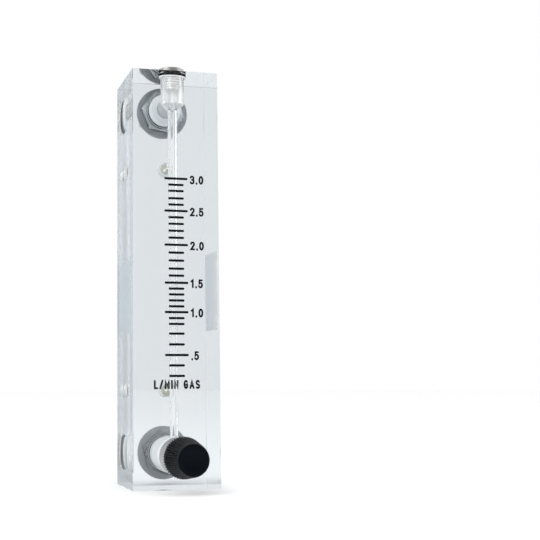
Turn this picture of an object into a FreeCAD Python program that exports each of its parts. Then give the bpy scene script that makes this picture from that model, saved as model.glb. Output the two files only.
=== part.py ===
import FreeCAD, Part
import os
import Sketcher

# Rotameter: a variable-area flow meter drilled in one block of clear acrylic.
# Fluid comes in through the lower fitting at the back, passes the needle valve,
# lifts a small ball in a tapered bore and leaves through the upper fitting.
#
# Frame: millimetres, origin at the middle of the block's bottom face, +Z up.
# The scale and the knob face -Y, the two pipe fittings leave at +Y.

DOC = FreeCAD.newDocument("rotameter")

# Driving sizes
# Each row is a name and its value in millimetres, or in degrees for an angle.
SIZES = [
    # Block
    ("block_width", 34.925),
    ("block_depth", 31.75),
    ("block_height", 165.1),
    ("block_edge_break", 0.4),
    # Heights of the lower port and, from the top, of the upper port
    ("port_height", 12.8),
    ("upper_port_drop", 11.7),
    # General clearances
    ("fit_gap", 0.03),
    ("thread_gap", 0.05),
    ("edge_break", 0.2),
    ("drill_angle", 118),
    # Tapered float bore and the chamber above it
    ("bore_setback", 8.0),
    ("chamber_below_port", 1.9),
    ("passage_dia", 7.0),
    # Ball and the annular gap around it at each end of its bore
    ("ball_dia", 3.0),
    ("ball_low_gap", 0.1),
    ("ball_high_gap", 0.475),
    # Top plug with its seal and the rod that stops the ball
    ("plug_thread_dia", 9.6),
    ("plug_thread_depth", 0.4),
    ("plug_thread_length", 5.2),
    ("plug_core_dia", 7.4),
    ("plug_head_lip", 0.05),
    ("plug_head_height", 2.4),
    ("plug_head_round", 0.5),
    ("plug_slot_width", 1.5),
    ("plug_slot_depth", 1.2),
    ("plug_seal_cord", 1.75),
    ("stop_rod_dia", 2.2),
    ("stop_rod_grip", 3.0),
    ("stop_rod_lift", 1.2),
    # Pipe fittings at the back
    ("fitting_thread_dia", 13.2),
    ("fitting_thread_length", 4.6),
    ("fitting_run_out", 0.4),
    ("fitting_seal_cord", 1.0),
    ("fitting_neck_dia", 12.2),
    ("shoulder_wall", 1.9),
    ("shoulder_thickness", 2.0),
    ("tail_dia", 12.7),
    ("tail_length", 10.6),
    ("pipe_bore_dia", 8.65),
    ("pipe_bore_depth", 9.0),
    ("through_bore_dia", 6.4),
    ("corner_angle", 30),
    ("upper_shoulder_angle", 21),
    ("lower_shoulder_angle", 13),
    # Panel washers and nuts on the fittings
    ("washer_rim", 4.05),
    ("washer_hole_play", 0.3),
    ("washer_thickness", 1.2),
    ("nut_wall", 2.4),
    ("nut_thickness", 4.2),
    ("nut_bore_break", 0.3),
    # Needle valve body
    ("valve_bore_dia", 14.5),
    ("taper_land", 0.25),
    ("valve_web", 3.96),
    ("valve_end_gap", 0.1),
    ("valve_seal_cord", 1.6),
    ("valve_seal_room", 0.3),
    ("front_seal_depth", 3.6),
    ("rear_seal_cover", 3.2),
    ("neck_dia", 11.2),
    ("neck_in_knob", 3.1),
    ("neck_edge_break", 0.5),
    ("stem_thread_dia", 7.9),
    ("stem_thread_end", 2.5),
    ("seal_bore_dia", 6.1),
    ("seal_bore_depth", 6.0),
    ("inner_chamber_dia", 5.0),
    ("seat_length", 1.6),
    ("orifice_dia", 2.0),
    ("orifice_length", 1.4),
    ("outlet_dia", 6.0),
    ("outlet_depth", 2.8),
    ("ball_well_gap", 0.2),
    ("ball_well_floor", 4.4),
    ("ball_vent_dia", 1.8),
    # Valve stem
    ("stem_thread_length", 5.6),
    ("stem_shank_dia", 5.2),
    ("stem_end_dia", 4.8),
    ("stem_end_gap", 0.3),
    ("stem_seal_cord", 1.2),
    ("stem_seal_room", 0.3),
    ("stem_seal_cover", 1.6),
    ("stem_guide_gap", 1.0),
    ("needle_dia", 3.0),
    ("needle_tip_dia", 0.8),
    ("needle_length", 5.2),
    # Knob
    ("knob_standoff", 10.3),
    ("knob_length", 14.0),
    ("knob_wall", 1.75),
    ("knob_front_dia", 12.2),
    ("knob_rim", 0.8),
    ("knob_front_round", 0.8),
    ("knob_neck_gap", 0.6),
    ("knob_hollow_depth", 6.0),
    ("knob_bore_depth", 5.4),
    ("knob_dish_dia", 8.6),
    ("knob_dish_depth", 0.4),
    ("flute_count", 48),
    ("flute_rear_depth", 0.5),
    ("flute_front_depth", 0.34),
    ("flute_rear_dia", 1.0),
    ("flute_front_dia", 0.76),
    # Threaded inserts for the wall screws
    ("insert_from_port", 25.05),
    ("insert_dia", 5.4),
    ("insert_length", 6.35),
    ("insert_hole_dia", 3.45),
    ("insert_groove_dia", 4.7),
    ("insert_groove_length", 1.0),
    ("insert_run_out", 0.8),
]


def make_sheet():
    """The spreadsheet that holds every driving size under its own alias."""
    sheet = DOC.addObject("Spreadsheet::Sheet", "Sizes")
    for row, (name, number) in enumerate(SIZES, start=1):
        sheet.set("A%d" % row, name)
        sheet.set("B%d" % row, str(number))
        sheet.setAlias("B%d" % row, name)
    DOC.recompute()
    return sheet


SHEET = make_sheet()
TINY = 1e-7


def value(formula):
    """The number that a formula of the sheet's sizes gives."""
    result = SHEET.evalExpression(formula)
    return float(getattr(result, "Value", result))


def bound(formula):
    """The same formula as a property outside the sheet reads it."""
    names = sorted((name for name, _ in SIZES), key=len, reverse=True)
    marked = formula
    for index, name in enumerate(names):
        marked = replace_word(marked, name, "<%d>" % index)
    for index, name in enumerate(names):
        marked = marked.replace("<%d>" % index, "Sizes.%s" % name)
    return marked


def replace_word(text, word, mark):
    """Replaces a whole word and leaves longer names that contain it."""
    pieces = text.split(word)
    joined = pieces[0]
    for piece in pieces[1:]:
        before = joined[-1:] or " "
        after = piece[:1] or " "
        alone = not (before.isalnum() or before == "_" or after.isalnum() or after == "_")
        joined += (mark if alone else word) + piece
    return joined


# Helpers for bodies, sketches and round features

TO_FRONT = FreeCAD.Rotation(FreeCAD.Vector(1, 0, 0), 90)
TO_BACK = FreeCAD.Rotation(FreeCAD.Vector(1, 0, 0), -90)
UPRIGHT = FreeCAD.Rotation()


def place(thing, base, turn=UPRIGHT):
    """Gives a sub-part its Placement: a turn, and a base bound to the sheet."""
    thing.Placement = FreeCAD.Placement(FreeCAD.Vector(*[value(part) for part in base]), turn)
    for axis, part in zip("xyz", base):
        thing.setExpression("Placement.Base.%s" % axis, bound(part))


def new_body(label, base=("0", "0", "0"), turn=UPRIGHT):
    """An empty body with its own Label and Placement."""
    body = DOC.addObject("PartDesign::Body", label)
    body.Label = label
    place(body, base, turn)
    return body


def new_sketch(body, name, role, shift=("0", "0", "0")):
    """A sketch on one of the body's own origin planes, shifted by three formulas."""
    sketch = body.newObject("Sketcher::SketchObject", name)
    plane = next(item for item in body.Origin.OriginFeatures if item.Role == role)
    sketch.AttachmentSupport = (plane, "")
    sketch.MapMode = "FlatFace"
    for axis, part in zip("xyz", shift):
        sketch.setExpression("AttachmentOffset.Base.%s" % axis, bound(part))
    return sketch


def pin_point(sketch, shape, end, kind, formula):
    """Holds one coordinate of a sketch point at a formula of the sizes."""
    number = value(formula)
    if abs(number) < TINY:
        axis = -2 if kind == "DistanceX" else -1
        sketch.addConstraint(Sketcher.Constraint("PointOnObject", shape, end, axis))
        return
    forward = number > 0
    points = (-1, 1, shape, end) if forward else (shape, end, -1, 1)
    index = sketch.addConstraint(Sketcher.Constraint(kind, *points, abs(number)))
    formula = formula if forward else "-(%s)" % formula
    sketch.setExpression("Constraints[%d]" % index, bound(formula))


def draw_outline(sketch, corners):
    """A closed run of straight lines through corners given as pairs of formulas."""
    spots = [FreeCAD.Vector(value(across), value(along), 0) for across, along in corners]
    for start, stop in zip(spots, spots[1:] + spots[:1]):
        sketch.addGeometry(Part.LineSegment(start, stop), False)
    for line in range(len(spots)):
        following = (line + 1) % len(spots)
        sketch.addConstraint(Sketcher.Constraint("Coincident", line, 2, following, 1))
    for line, (across, along) in enumerate(corners):
        pin_point(sketch, line, 1, "DistanceX", across)
        pin_point(sketch, line, 1, "DistanceY", along)


def draw_circle(sketch, across, along, radius):
    """A circle with its centre and radius at formulas of the sizes."""
    centre = FreeCAD.Vector(value(across), value(along), 0)
    normal = FreeCAD.Vector(0, 0, 1)
    shape = sketch.addGeometry(Part.Circle(centre, normal, value(radius)), False)
    pin_point(sketch, shape, 3, "DistanceX", across)
    pin_point(sketch, shape, 3, "DistanceY", along)
    index = sketch.addConstraint(Sketcher.Constraint("Radius", shape, value(radius)))
    sketch.setExpression("Constraints[%d]" % index, bound(radius))


def volume(body):
    """The body's volume after a recompute, in cubic millimetres."""
    DOC.recompute()
    return body.Shape.Volume


def turned(body, name, corners):
    """A solid of revolution about the body's Z axis, from (radius, height) corners."""
    sketch = new_sketch(body, name + "_profile", "XZ_Plane")
    draw_outline(sketch, corners)
    feature = body.newObject("PartDesign::Revolution", name)
    feature.Profile = sketch
    feature.ReferenceAxis = (sketch, ["V_Axis"])
    feature.Angle = 360
    DOC.recompute()
    return feature


def bored(body, name, corners, role="XZ_Plane", axis="V_Axis", shift=("0", "0", "0")):
    """Cuts a round form from the body and checks that it took material away."""
    before = volume(body)
    sketch = new_sketch(body, name + "_profile", role, shift)
    draw_outline(sketch, corners)
    feature = body.newObject("PartDesign::Groove", name)
    feature.Profile = sketch
    feature.ReferenceAxis = (sketch, [axis])
    feature.Angle = 360
    if volume(body) >= before:
        raise RuntimeError("%s cut nothing from %s" % (name, body.Label))
    return feature


def edges_where(feature, test):
    """Names of a feature's edges whose middle passes a test."""
    names = []
    for index, edge in enumerate(feature.Shape.Edges, start=1):
        middle = edge.valueAt((edge.FirstParameter + edge.LastParameter) / 2)
        if test(edge, middle):
            names.append("Edge%d" % index)
    return names


def ring(label, centre_radius, cord, base, turn=UPRIGHT):
    """A round seal: a torus with its mean radius and cord at formulas of the sizes."""
    seal = DOC.addObject("Part::Torus", label)
    seal.Label = label
    seal.setExpression("Radius1", bound(centre_radius))
    seal.setExpression("Radius2", bound("%s / 2" % cord))
    place(seal, base, turn)
    return seal


def hexagon(flats):
    """Corners of a hexagon, flat sides left and right, from its width over the flats."""
    half = "%s / 2" % flats
    corner = "%s / sqrt(3)" % flats
    low = "%s / sqrt(3) / 2" % flats
    return [
        (half, low),
        ("0", corner),
        ("-" + half, low),
        ("-" + half, "-" + low),
        ("0", "-" + corner),
        (half, "-" + low),
    ]


# Places that several pieces share

FRONT_FACE = "-block_depth / 2"
BACK_FACE = "block_depth / 2"
BORE_LINE = "bore_setback - block_depth / 2"
UPPER_PORT = "block_height - upper_port_drop"
LOWER_INSERT = "port_height + insert_from_port"
UPPER_INSERT = UPPER_PORT + " - insert_from_port"
VALVE_CREST = "port_height + valve_bore_dia / 2"
DRILL_SLOPE = "tan(drill_angle / 2)"
CHAMBER_RADIUS = "plug_thread_dia / 2 - plug_thread_depth"
BORE_HIGH_RADIUS = "ball_dia / 2 + ball_high_gap"
BORE_LOW_RADIUS = "ball_dia / 2 + ball_low_gap"
CONE_TOP = UPPER_PORT + " - chamber_below_port"
CONE_FOOT = "%s - (%s - (%s)) / %s" % (CONE_TOP, CHAMBER_RADIUS, BORE_HIGH_RADIUS, DRILL_SLOPE)
PORT_DEPTH = "fitting_thread_length + fitting_run_out"
SHOULDER_FLATS = "(fitting_neck_dia + 2 * shoulder_wall)"
NUT_FLATS = "(tail_dia + 2 * nut_wall)"
PORT_CONE = "(fitting_thread_dia + 2 * thread_gap - passage_dia) / 2 / " + DRILL_SLOPE
PLUG_RECESS = "plug_core_dia / 2 + plug_seal_cord + 2 * fit_gap"
PLUG_RECESS_DEPTH = "plug_seal_cord + 2 * fit_gap"
PORT_RECESS = "fitting_neck_dia / 2 + fitting_seal_cord + 2 * fit_gap"
PORT_RECESS_DEPTH = "fitting_seal_cord + 2 * fit_gap"
VALVE_DEPTH = "block_depth - (%s) - %s - valve_web" % (PORT_DEPTH, PORT_CONE)
VALVE_REAR = "-(%s) + valve_end_gap" % VALVE_DEPTH
REAR_SEAL_DEPTH = VALVE_DEPTH + " - valve_end_gap - rear_seal_cover"
ORIFICE_END = VALVE_REAR + " + outlet_depth"
SEAT = ORIFICE_END + " + orifice_length"
NECK_END = "knob_standoff + neck_in_knob"
STEM_GUIDE_END = "-seal_bore_depth + stem_guide_gap"
STEM_SEAL_DEPTH = "seal_bore_depth - stem_guide_gap - stem_seal_cover"
KNOB_HOLLOW_RADIUS = "neck_dia / 2 + knob_neck_gap"
KNOB_REAR_RADIUS = KNOB_HOLLOW_RADIUS + " + knob_wall"
VALVE_SEAL_ROOT = "valve_bore_dia / 2 - valve_seal_cord - 2 * fit_gap"
STEM_SEAL_ROOT = "seal_bore_dia / 2 - stem_seal_cord - 2 * fit_gap"
STOP_TIP = CONE_FOOT + " + stop_rod_lift"
BALL_DROP = "sqrt((ball_dia / 2) ^ 2 - (ball_vent_dia / 2) ^ 2)"
BALL_REST = "port_height + ball_well_floor + fit_gap + " + BALL_DROP


# The acrylic block

def body_block():
    """One block of clear acrylic with every bore, passage and tapped hole in it."""
    body = new_body("body_block")
    sketch = new_sketch(body, "block_outline", "XY_Plane")
    half_width = "block_width / 2"
    half_depth = "block_depth / 2"
    draw_outline(sketch, [
        (half_width, half_depth),
        ("-" + half_width, half_depth),
        ("-" + half_width, "-" + half_depth),
        (half_width, "-" + half_depth),
    ])
    pad = body.newObject("PartDesign::Pad", "block_pad")
    pad.Profile = sketch
    pad.setExpression("Length", bound("block_height"))
    DOC.recompute()
    edges = body.newObject("PartDesign::Chamfer", "block_edges")
    edges.Base = (pad, edges_where(pad, lambda edge, middle: True))
    edges.setExpression("Size", bound("block_edge_break"))
    DOC.recompute()
    bore_the_tube(body)
    bore_the_lower_port(body)
    bore_the_upper_port(body)
    drill_insert_holes(body)
    return body


def bore_the_tube(body):
    """The plug's thread, the chamber, its drill cone and the tapered float bore."""
    thread = "plug_thread_dia / 2 + thread_gap"
    recess_foot = "block_height - (%s)" % PLUG_RECESS_DEPTH
    thread_foot = recess_foot + " - plug_thread_length - thread_gap"
    bored(body, "tube_bore", [
        ("0", "block_height"),
        (PLUG_RECESS, "block_height"),
        (PLUG_RECESS, recess_foot),
        (thread, recess_foot),
        (thread, thread_foot),
        (CHAMBER_RADIUS, thread_foot),
        (CHAMBER_RADIUS, CONE_TOP),
        (BORE_HIGH_RADIUS, CONE_FOOT),
        (BORE_LOW_RADIUS, VALVE_CREST + " + taper_land"),
        (BORE_LOW_RADIUS, "port_height"),
        ("0", "port_height"),
    ], shift=("0", "0", "block_depth / 2 - bore_setback"))


def port_corners(inner_end):
    """Profile of one tapped port at the back: (place along Y, radius) corners."""
    thread = "fitting_thread_dia / 2 + thread_gap"
    recess_floor = BACK_FACE + " - (" + PORT_RECESS_DEPTH + ")"
    floor = BACK_FACE + " - (" + PORT_DEPTH + ")"
    return [
        (BACK_FACE, "0"),
        (BACK_FACE, PORT_RECESS),
        (recess_floor, PORT_RECESS),
        (recess_floor, thread),
        (floor, thread),
        (floor + " - " + PORT_CONE, "passage_dia / 2"),
        (inner_end, "passage_dia / 2"),
    ]


def bore_the_lower_port(body):
    """The inlet port at the back and the valve bore at the front, on one axis."""
    valve_floor = FRONT_FACE + " + " + VALVE_DEPTH
    corners = port_corners(valve_floor) + [
        (valve_floor, "valve_bore_dia / 2"),
        (FRONT_FACE, "valve_bore_dia / 2"),
        (FRONT_FACE, "0"),
    ]
    bored(body, "lower_port", corners, "YZ_Plane", "H_Axis", ("0", "port_height", "0"))


def bore_the_upper_port(body):
    """The outlet port at the back, with its passage into the chamber."""
    corners = port_corners(BORE_LINE) + [(BORE_LINE, "0")]
    bored(body, "upper_port", corners, "YZ_Plane", "H_Axis", ("0", UPPER_PORT, "0"))


def drill_insert_holes(body):
    """Two blind holes at the back for the inserts, as a drilled hole and its pattern."""
    radius = "insert_dia / 2 + fit_gap"
    floor = BACK_FACE + " - insert_length - insert_run_out"
    low = ("0", LOWER_INSERT, "0")
    hole = bored(body, "insert_hole", [
        (BACK_FACE, "0"),
        (BACK_FACE, radius),
        (floor, radius),
        (floor + " - (%s) / %s" % (radius, DRILL_SLOPE), "0"),
    ], "YZ_Plane", "H_Axis", low)
    before = volume(body)
    pair = body.newObject("PartDesign::LinearPattern", "insert_holes")
    pair.Originals = [hole]
    upward = next(item for item in body.Origin.OriginFeatures if item.Role == "Z_Axis")
    pair.Direction = (upward, [""])
    pair.setExpression("Length", bound("%s - (%s)" % (UPPER_INSERT, LOWER_INSERT)))
    pair.Occurrences = 2
    body.Tip = pair
    if volume(body) >= before:
        raise RuntimeError("the second insert hole is missing")


# The plug, its seal and the stop above the ball

def top_plug():
    """A slotted screw plug: head, undercut for the seal, and a short thread."""
    body = new_body("top_plug", ("0", BORE_LINE, "block_height"))
    thread_top = "-(" + PLUG_RECESS_DEPTH + ")"
    thread_foot = thread_top + " - plug_thread_length"
    head_radius = PLUG_RECESS + " + plug_head_lip"
    head = turned(body, "plug_turning", [
        ("0", "plug_head_height"),
        (head_radius, "plug_head_height"),
        (head_radius, "0"),
        ("plug_core_dia / 2", "0"),
        ("plug_core_dia / 2", thread_top),
        ("plug_thread_dia / 2", thread_top),
        ("plug_thread_dia / 2", thread_foot),
        ("0", thread_foot),
    ])
    top = value("plug_head_height")
    rim = body.newObject("PartDesign::Fillet", "plug_rim")
    rim.Base = (head, edges_where(head, lambda edge, middle: abs(middle.z - top) < TINY))
    rim.setExpression("Radius", bound("plug_head_round"))
    before = volume(body)
    slot_outline = new_sketch(body, "slot_outline", "XY_Plane", ("0", "0", "plug_head_height"))
    half_slot = "plug_slot_width / 2"
    draw_outline(slot_outline, [
        ("plug_thread_dia", half_slot),
        ("-plug_thread_dia", half_slot),
        ("-plug_thread_dia", "-" + half_slot),
        ("plug_thread_dia", "-" + half_slot),
    ])
    slot = body.newObject("PartDesign::Pocket", "plug_slot")
    slot.Profile = slot_outline
    slot.setExpression("Length", bound("plug_slot_depth"))
    if volume(body) >= before:
        raise RuntimeError("the plug has no slot")
    bored(body, "rod_hole", [
        ("0", thread_foot),
        ("stop_rod_dia / 2 + fit_gap", thread_foot),
        ("stop_rod_dia / 2 + fit_gap", thread_foot + " + stop_rod_grip"),
        ("0", thread_foot + " + stop_rod_grip"),
    ])
    return body


def top_plug_seal():
    """The ring seal squeezed under the plug's head, in the recess of the block."""
    centre = "plug_core_dia / 2 + fit_gap + plug_seal_cord / 2"
    height = "block_height - fit_gap - plug_seal_cord / 2"
    return ring("top_plug_seal", centre, "plug_seal_cord", ("0", BORE_LINE, height))


def upper_float_stop():
    """A plain rod in the plug whose end keeps the ball inside the tapered bore."""
    top = "block_height - (" + PLUG_RECESS_DEPTH + ") - plug_thread_length"
    top += " + stop_rod_grip - fit_gap"
    radius = "stop_rod_dia / 2"
    body = new_body("upper_float_stop", ("0", BORE_LINE, STOP_TIP))
    length = "%s - (%s)" % (top, STOP_TIP)
    turned(body, "rod_turning", [
        ("0", "0"),
        (radius + " / 2", "0"),
        (radius, radius + " / 2"),
        (radius, length),
        ("0", length),
    ])
    return body


def float_ball():
    """The ball that the flow lifts, at rest in its well in the valve body."""
    ball = DOC.addObject("Part::Sphere", "float_ball")
    ball.Label = "float_ball"
    ball.setExpression("Radius", bound("ball_dia / 2"))
    place(ball, ("0", BORE_LINE, BALL_REST))
    return ball


# The two pipe fittings

def chamfer_corners(body, name, flats, thickness):
    """Turns the corners of a hexagon down to its flats, at its low and high faces."""
    flat = "%s / 2" % flats
    rise = "(%s - %s) * tan(corner_angle)" % (flats, flat)
    top = thickness
    bored(body, name + "_low", [(flat, "0"), (flats, "0"), (flats, rise)])
    bored(body, name + "_high", [(flat, top), (flats, top), (flats, top + " - " + rise)])


def pipe_fitting(label, height, shoulder_angle):
    """A turned fitting: block thread, hexagonal shoulder, panel thread and pipe bore."""
    turn = TO_BACK.multiply(FreeCAD.Rotation(FreeCAD.Vector(0, 0, 1), -value(shoulder_angle)))
    body = new_body(label, ("0", BACK_FACE, height), turn)
    outline = new_sketch(body, "shoulder_outline", "XY_Plane")
    draw_outline(outline, hexagon(SHOULDER_FLATS))
    pad = body.newObject("PartDesign::Pad", "shoulder")
    pad.Profile = outline
    pad.setExpression("Length", bound("shoulder_thickness"))
    DOC.recompute()
    chamfer_corners(body, "shoulder_corners", SHOULDER_FLATS, "shoulder_thickness")
    thread_top = "-(" + PORT_RECESS_DEPTH + ")"
    tail_end = "shoulder_thickness + tail_length"
    turned(body, "fitting_turning", [
        ("0", "-fitting_thread_length"),
        ("fitting_thread_dia / 2", "-fitting_thread_length"),
        ("fitting_thread_dia / 2", thread_top),
        ("fitting_neck_dia / 2", thread_top),
        ("fitting_neck_dia / 2", "shoulder_thickness / 2"),
        ("tail_dia / 2", "shoulder_thickness / 2"),
        ("tail_dia / 2", tail_end + " - edge_break"),
        ("tail_dia / 2 - edge_break", tail_end),
        ("0", tail_end),
    ])
    pipe_floor = tail_end + " - pipe_bore_depth"
    step = "(pipe_bore_dia - through_bore_dia) / 2 / " + DRILL_SLOPE
    bored(body, "pipe_bore", [
        ("0", tail_end),
        ("pipe_bore_dia / 2", tail_end),
        ("pipe_bore_dia / 2", pipe_floor),
        ("through_bore_dia / 2", pipe_floor + " - " + step),
        ("through_bore_dia / 2", "-fitting_thread_length"),
        ("0", "-fitting_thread_length"),
    ])
    return body


def fitting_seal(label, height):
    """The ring seal in the recess at the mouth of a port, under the shoulder."""
    centre = "fitting_neck_dia / 2 + fit_gap + fitting_seal_cord / 2"
    place_along = BACK_FACE + " - fit_gap - fitting_seal_cord / 2"
    return ring(label, centre, "fitting_seal_cord", ("0", place_along, height), TO_BACK)


def panel_washer(label, height):
    """A flat washer on the panel thread, against the shoulder."""
    body = new_body(label, ("0", BACK_FACE + " + shoulder_thickness", height), TO_BACK)
    inner = "tail_dia / 2 + washer_hole_play"
    outer = inner + " + washer_rim"
    top = "washer_thickness"
    turned(body, "washer_turning", [
        (inner, "0"),
        (outer + " - edge_break", "0"),
        (outer, "edge_break"),
        (outer, top + " - edge_break"),
        (outer + " - edge_break", top),
        (inner, top),
    ])
    return body


def panel_nut(label, height):
    """A hexagonal nut on the panel thread, behind the washer."""
    base = ("0", BACK_FACE + " + shoulder_thickness + washer_thickness", height)
    body = new_body(label, base, TO_BACK)
    outline = new_sketch(body, "nut_outline", "XY_Plane")
    draw_outline(outline, hexagon(NUT_FLATS))
    pad = body.newObject("PartDesign::Pad", "nut_pad")
    pad.Profile = outline
    pad.setExpression("Length", bound("nut_thickness"))
    DOC.recompute()
    chamfer_corners(body, "nut_corners", NUT_FLATS, "nut_thickness")
    radius = "tail_dia / 2 + thread_gap"
    bored(body, "nut_bore", [
        ("0", "0"),
        (radius + " + nut_bore_break", "0"),
        (radius, "nut_bore_break"),
        (radius, "nut_thickness - nut_bore_break"),
        (radius + " + nut_bore_break", "nut_thickness"),
        ("0", "nut_thickness"),
    ])
    return body


# The needle valve

VALVE_BASE = ("0", FRONT_FACE, "port_height")


def groove_corners(depth, cord, room, root, reach):
    """Profile of a seal groove whose middle lies at a depth behind the front face."""
    half = "(%s + %s) / 2" % (cord, room)
    return [
        (root, "-(%s) + %s" % (depth, half)),
        (reach, "-(%s) + %s" % (depth, half)),
        (reach, "-(%s) - %s" % (depth, half)),
        (root, "-(%s) - %s" % (depth, half)),
    ]


def valve_body():
    """The turned cartridge: threaded neck, two seal grooves, needle seat and ball well."""
    body = new_body("valve_body", VALVE_BASE, TO_FRONT)
    radius = "valve_bore_dia / 2 - thread_gap"
    turned(body, "cartridge", [
        ("0", VALVE_REAR),
        (radius, VALVE_REAR),
        (radius, "0"),
        ("neck_dia / 2", "0"),
        ("neck_dia / 2", NECK_END + " - neck_edge_break"),
        ("neck_dia / 2 - neck_edge_break", NECK_END),
        ("0", NECK_END),
    ])
    outside = "valve_bore_dia"
    for name, depth in (("front_groove", "front_seal_depth"), ("rear_groove", REAR_SEAL_DEPTH)):
        corners = groove_corners(depth, "valve_seal_cord", "valve_seal_room", VALVE_SEAL_ROOT, outside)
        bored(body, name, corners)
    step = "(outlet_dia - orifice_dia) / 2 / " + DRILL_SLOPE
    bored(body, "valve_bore", [
        ("0", NECK_END),
        ("stem_thread_dia / 2", NECK_END),
        ("stem_thread_dia / 2", "stem_thread_end"),
        ("seal_bore_dia / 2", "stem_thread_end"),
        ("seal_bore_dia / 2", "-seal_bore_depth"),
        ("inner_chamber_dia / 2", "-seal_bore_depth"),
        ("inner_chamber_dia / 2", SEAT + " + seat_length"),
        ("orifice_dia / 2", SEAT),
        ("orifice_dia / 2", ORIFICE_END),
        ("outlet_dia / 2", ORIFICE_END + " - " + step),
        ("outlet_dia / 2", VALVE_REAR),
        ("0", VALVE_REAR),
    ])
    well_radius = "ball_dia / 2 + ball_well_gap"
    bored(body, "ball_well", [
        ("0", "valve_bore_dia"),
        (well_radius, "valve_bore_dia"),
        (well_radius, "ball_well_floor"),
        ("ball_vent_dia / 2", "ball_well_floor"),
        ("ball_vent_dia / 2", "0"),
        ("0", "0"),
    ], "XY_Plane", "V_Axis", ("0", "0", "-bore_setback"))
    return body


def valve_seal(label, depth):
    """A ring seal in a groove of the cartridge."""
    centre = VALVE_SEAL_ROOT + " + fit_gap + valve_seal_cord / 2"
    base = ("0", FRONT_FACE + " + " + depth, "port_height")
    return ring(label, centre, "valve_seal_cord", base, TO_FRONT)


def valve_stem():
    """The screw with its needle: shank in the knob, thread, seal groove and needle."""
    body = new_body("valve_stem", VALVE_BASE, TO_FRONT)
    thread = "stem_thread_dia / 2 - thread_gap"
    guide = "seal_bore_dia / 2 - thread_gap"
    thread_foot = "stem_thread_end + 2 * thread_gap"
    thread_top = thread_foot + " + stem_thread_length"
    knob_floor = "knob_standoff + knob_hollow_depth"
    slope = "(needle_dia - needle_tip_dia) / 2 / needle_length"
    seat_radius = "orifice_dia / 2 - fit_gap"
    cone_start = "%s + (needle_dia / 2 - (%s)) / (%s)" % (SEAT, seat_radius, slope)
    turned(body, "stem_turning", [
        ("0", knob_floor + " + knob_bore_depth - stem_end_gap"),
        ("stem_end_dia / 2", knob_floor + " + knob_bore_depth - stem_end_gap"),
        ("stem_end_dia / 2", knob_floor + " - fit_gap"),
        ("stem_shank_dia / 2", knob_floor + " - fit_gap"),
        ("stem_shank_dia / 2", thread_top),
        (thread, thread_top),
        (thread, thread_foot),
        (guide, thread_foot),
        (guide, STEM_GUIDE_END),
        ("needle_dia / 2", STEM_GUIDE_END),
        ("needle_dia / 2", cone_start),
        ("needle_tip_dia / 2", cone_start + " - needle_length"),
        ("0", cone_start + " - needle_length"),
    ])
    corners = groove_corners(STEM_SEAL_DEPTH, "stem_seal_cord", "stem_seal_room",
                             STEM_SEAL_ROOT, "stem_thread_dia")
    bored(body, "stem_groove", corners)
    return body


def valve_stem_seal():
    """The ring seal that travels with the stem inside the cartridge."""
    centre = STEM_SEAL_ROOT + " + fit_gap + stem_seal_cord / 2"
    base = ("0", FRONT_FACE + " + " + STEM_SEAL_DEPTH, "port_height")
    return ring("valve_stem_seal", centre, "stem_seal_cord", base, TO_FRONT)


def control_knob():
    """The moulded knob: a fluted cone, hollow behind and dished in front."""
    body = new_body("control_knob", ("0", FRONT_FACE + " - knob_standoff", "port_height"), TO_FRONT)
    bore = "stem_end_dia / 2 + fit_gap"
    cone = turned(body, "knob_turning", [
        ("0", "knob_hollow_depth + knob_bore_depth"),
        (bore, "knob_hollow_depth + knob_bore_depth"),
        (bore, "knob_hollow_depth"),
        (KNOB_HOLLOW_RADIUS, "knob_hollow_depth"),
        (KNOB_HOLLOW_RADIUS, "0"),
        (KNOB_REAR_RADIUS, "0"),
        (KNOB_REAR_RADIUS, "knob_rim"),
        ("knob_front_dia / 2", "knob_length"),
        ("0", "knob_length"),
    ])
    front = value("knob_length")
    edge = body.newObject("PartDesign::Fillet", "knob_edge")
    edge.Base = (cone, edges_where(cone, lambda edge, middle: abs(middle.z - front) < TINY))
    edge.setExpression("Radius", bound("knob_front_round"))
    DOC.recompute()
    dish_the_front(body)
    flute_the_cone(body)
    return body


def dish_the_front(body):
    """A shallow round hollow in the front face, cut with a large ball."""
    half = "knob_dish_dia / 2"
    ball = "((%s) ^ 2 + knob_dish_depth ^ 2) / 2 / knob_dish_depth" % half
    centre_height = "knob_length - knob_dish_depth + " + ball
    before = volume(body)
    cutter = body.newObject("PartDesign::SubtractiveSphere", "front_dish")
    cutter.setExpression("Radius", bound(ball))
    cutter.setExpression("AttachmentOffset.Base.z", bound(centre_height))
    plane = next(item for item in body.Origin.OriginFeatures if item.Role == "XY_Plane")
    cutter.AttachmentSupport = (plane, "")
    cutter.MapMode = "FlatFace"
    if volume(body) >= before:
        raise RuntimeError("the knob has no dish")


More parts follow.
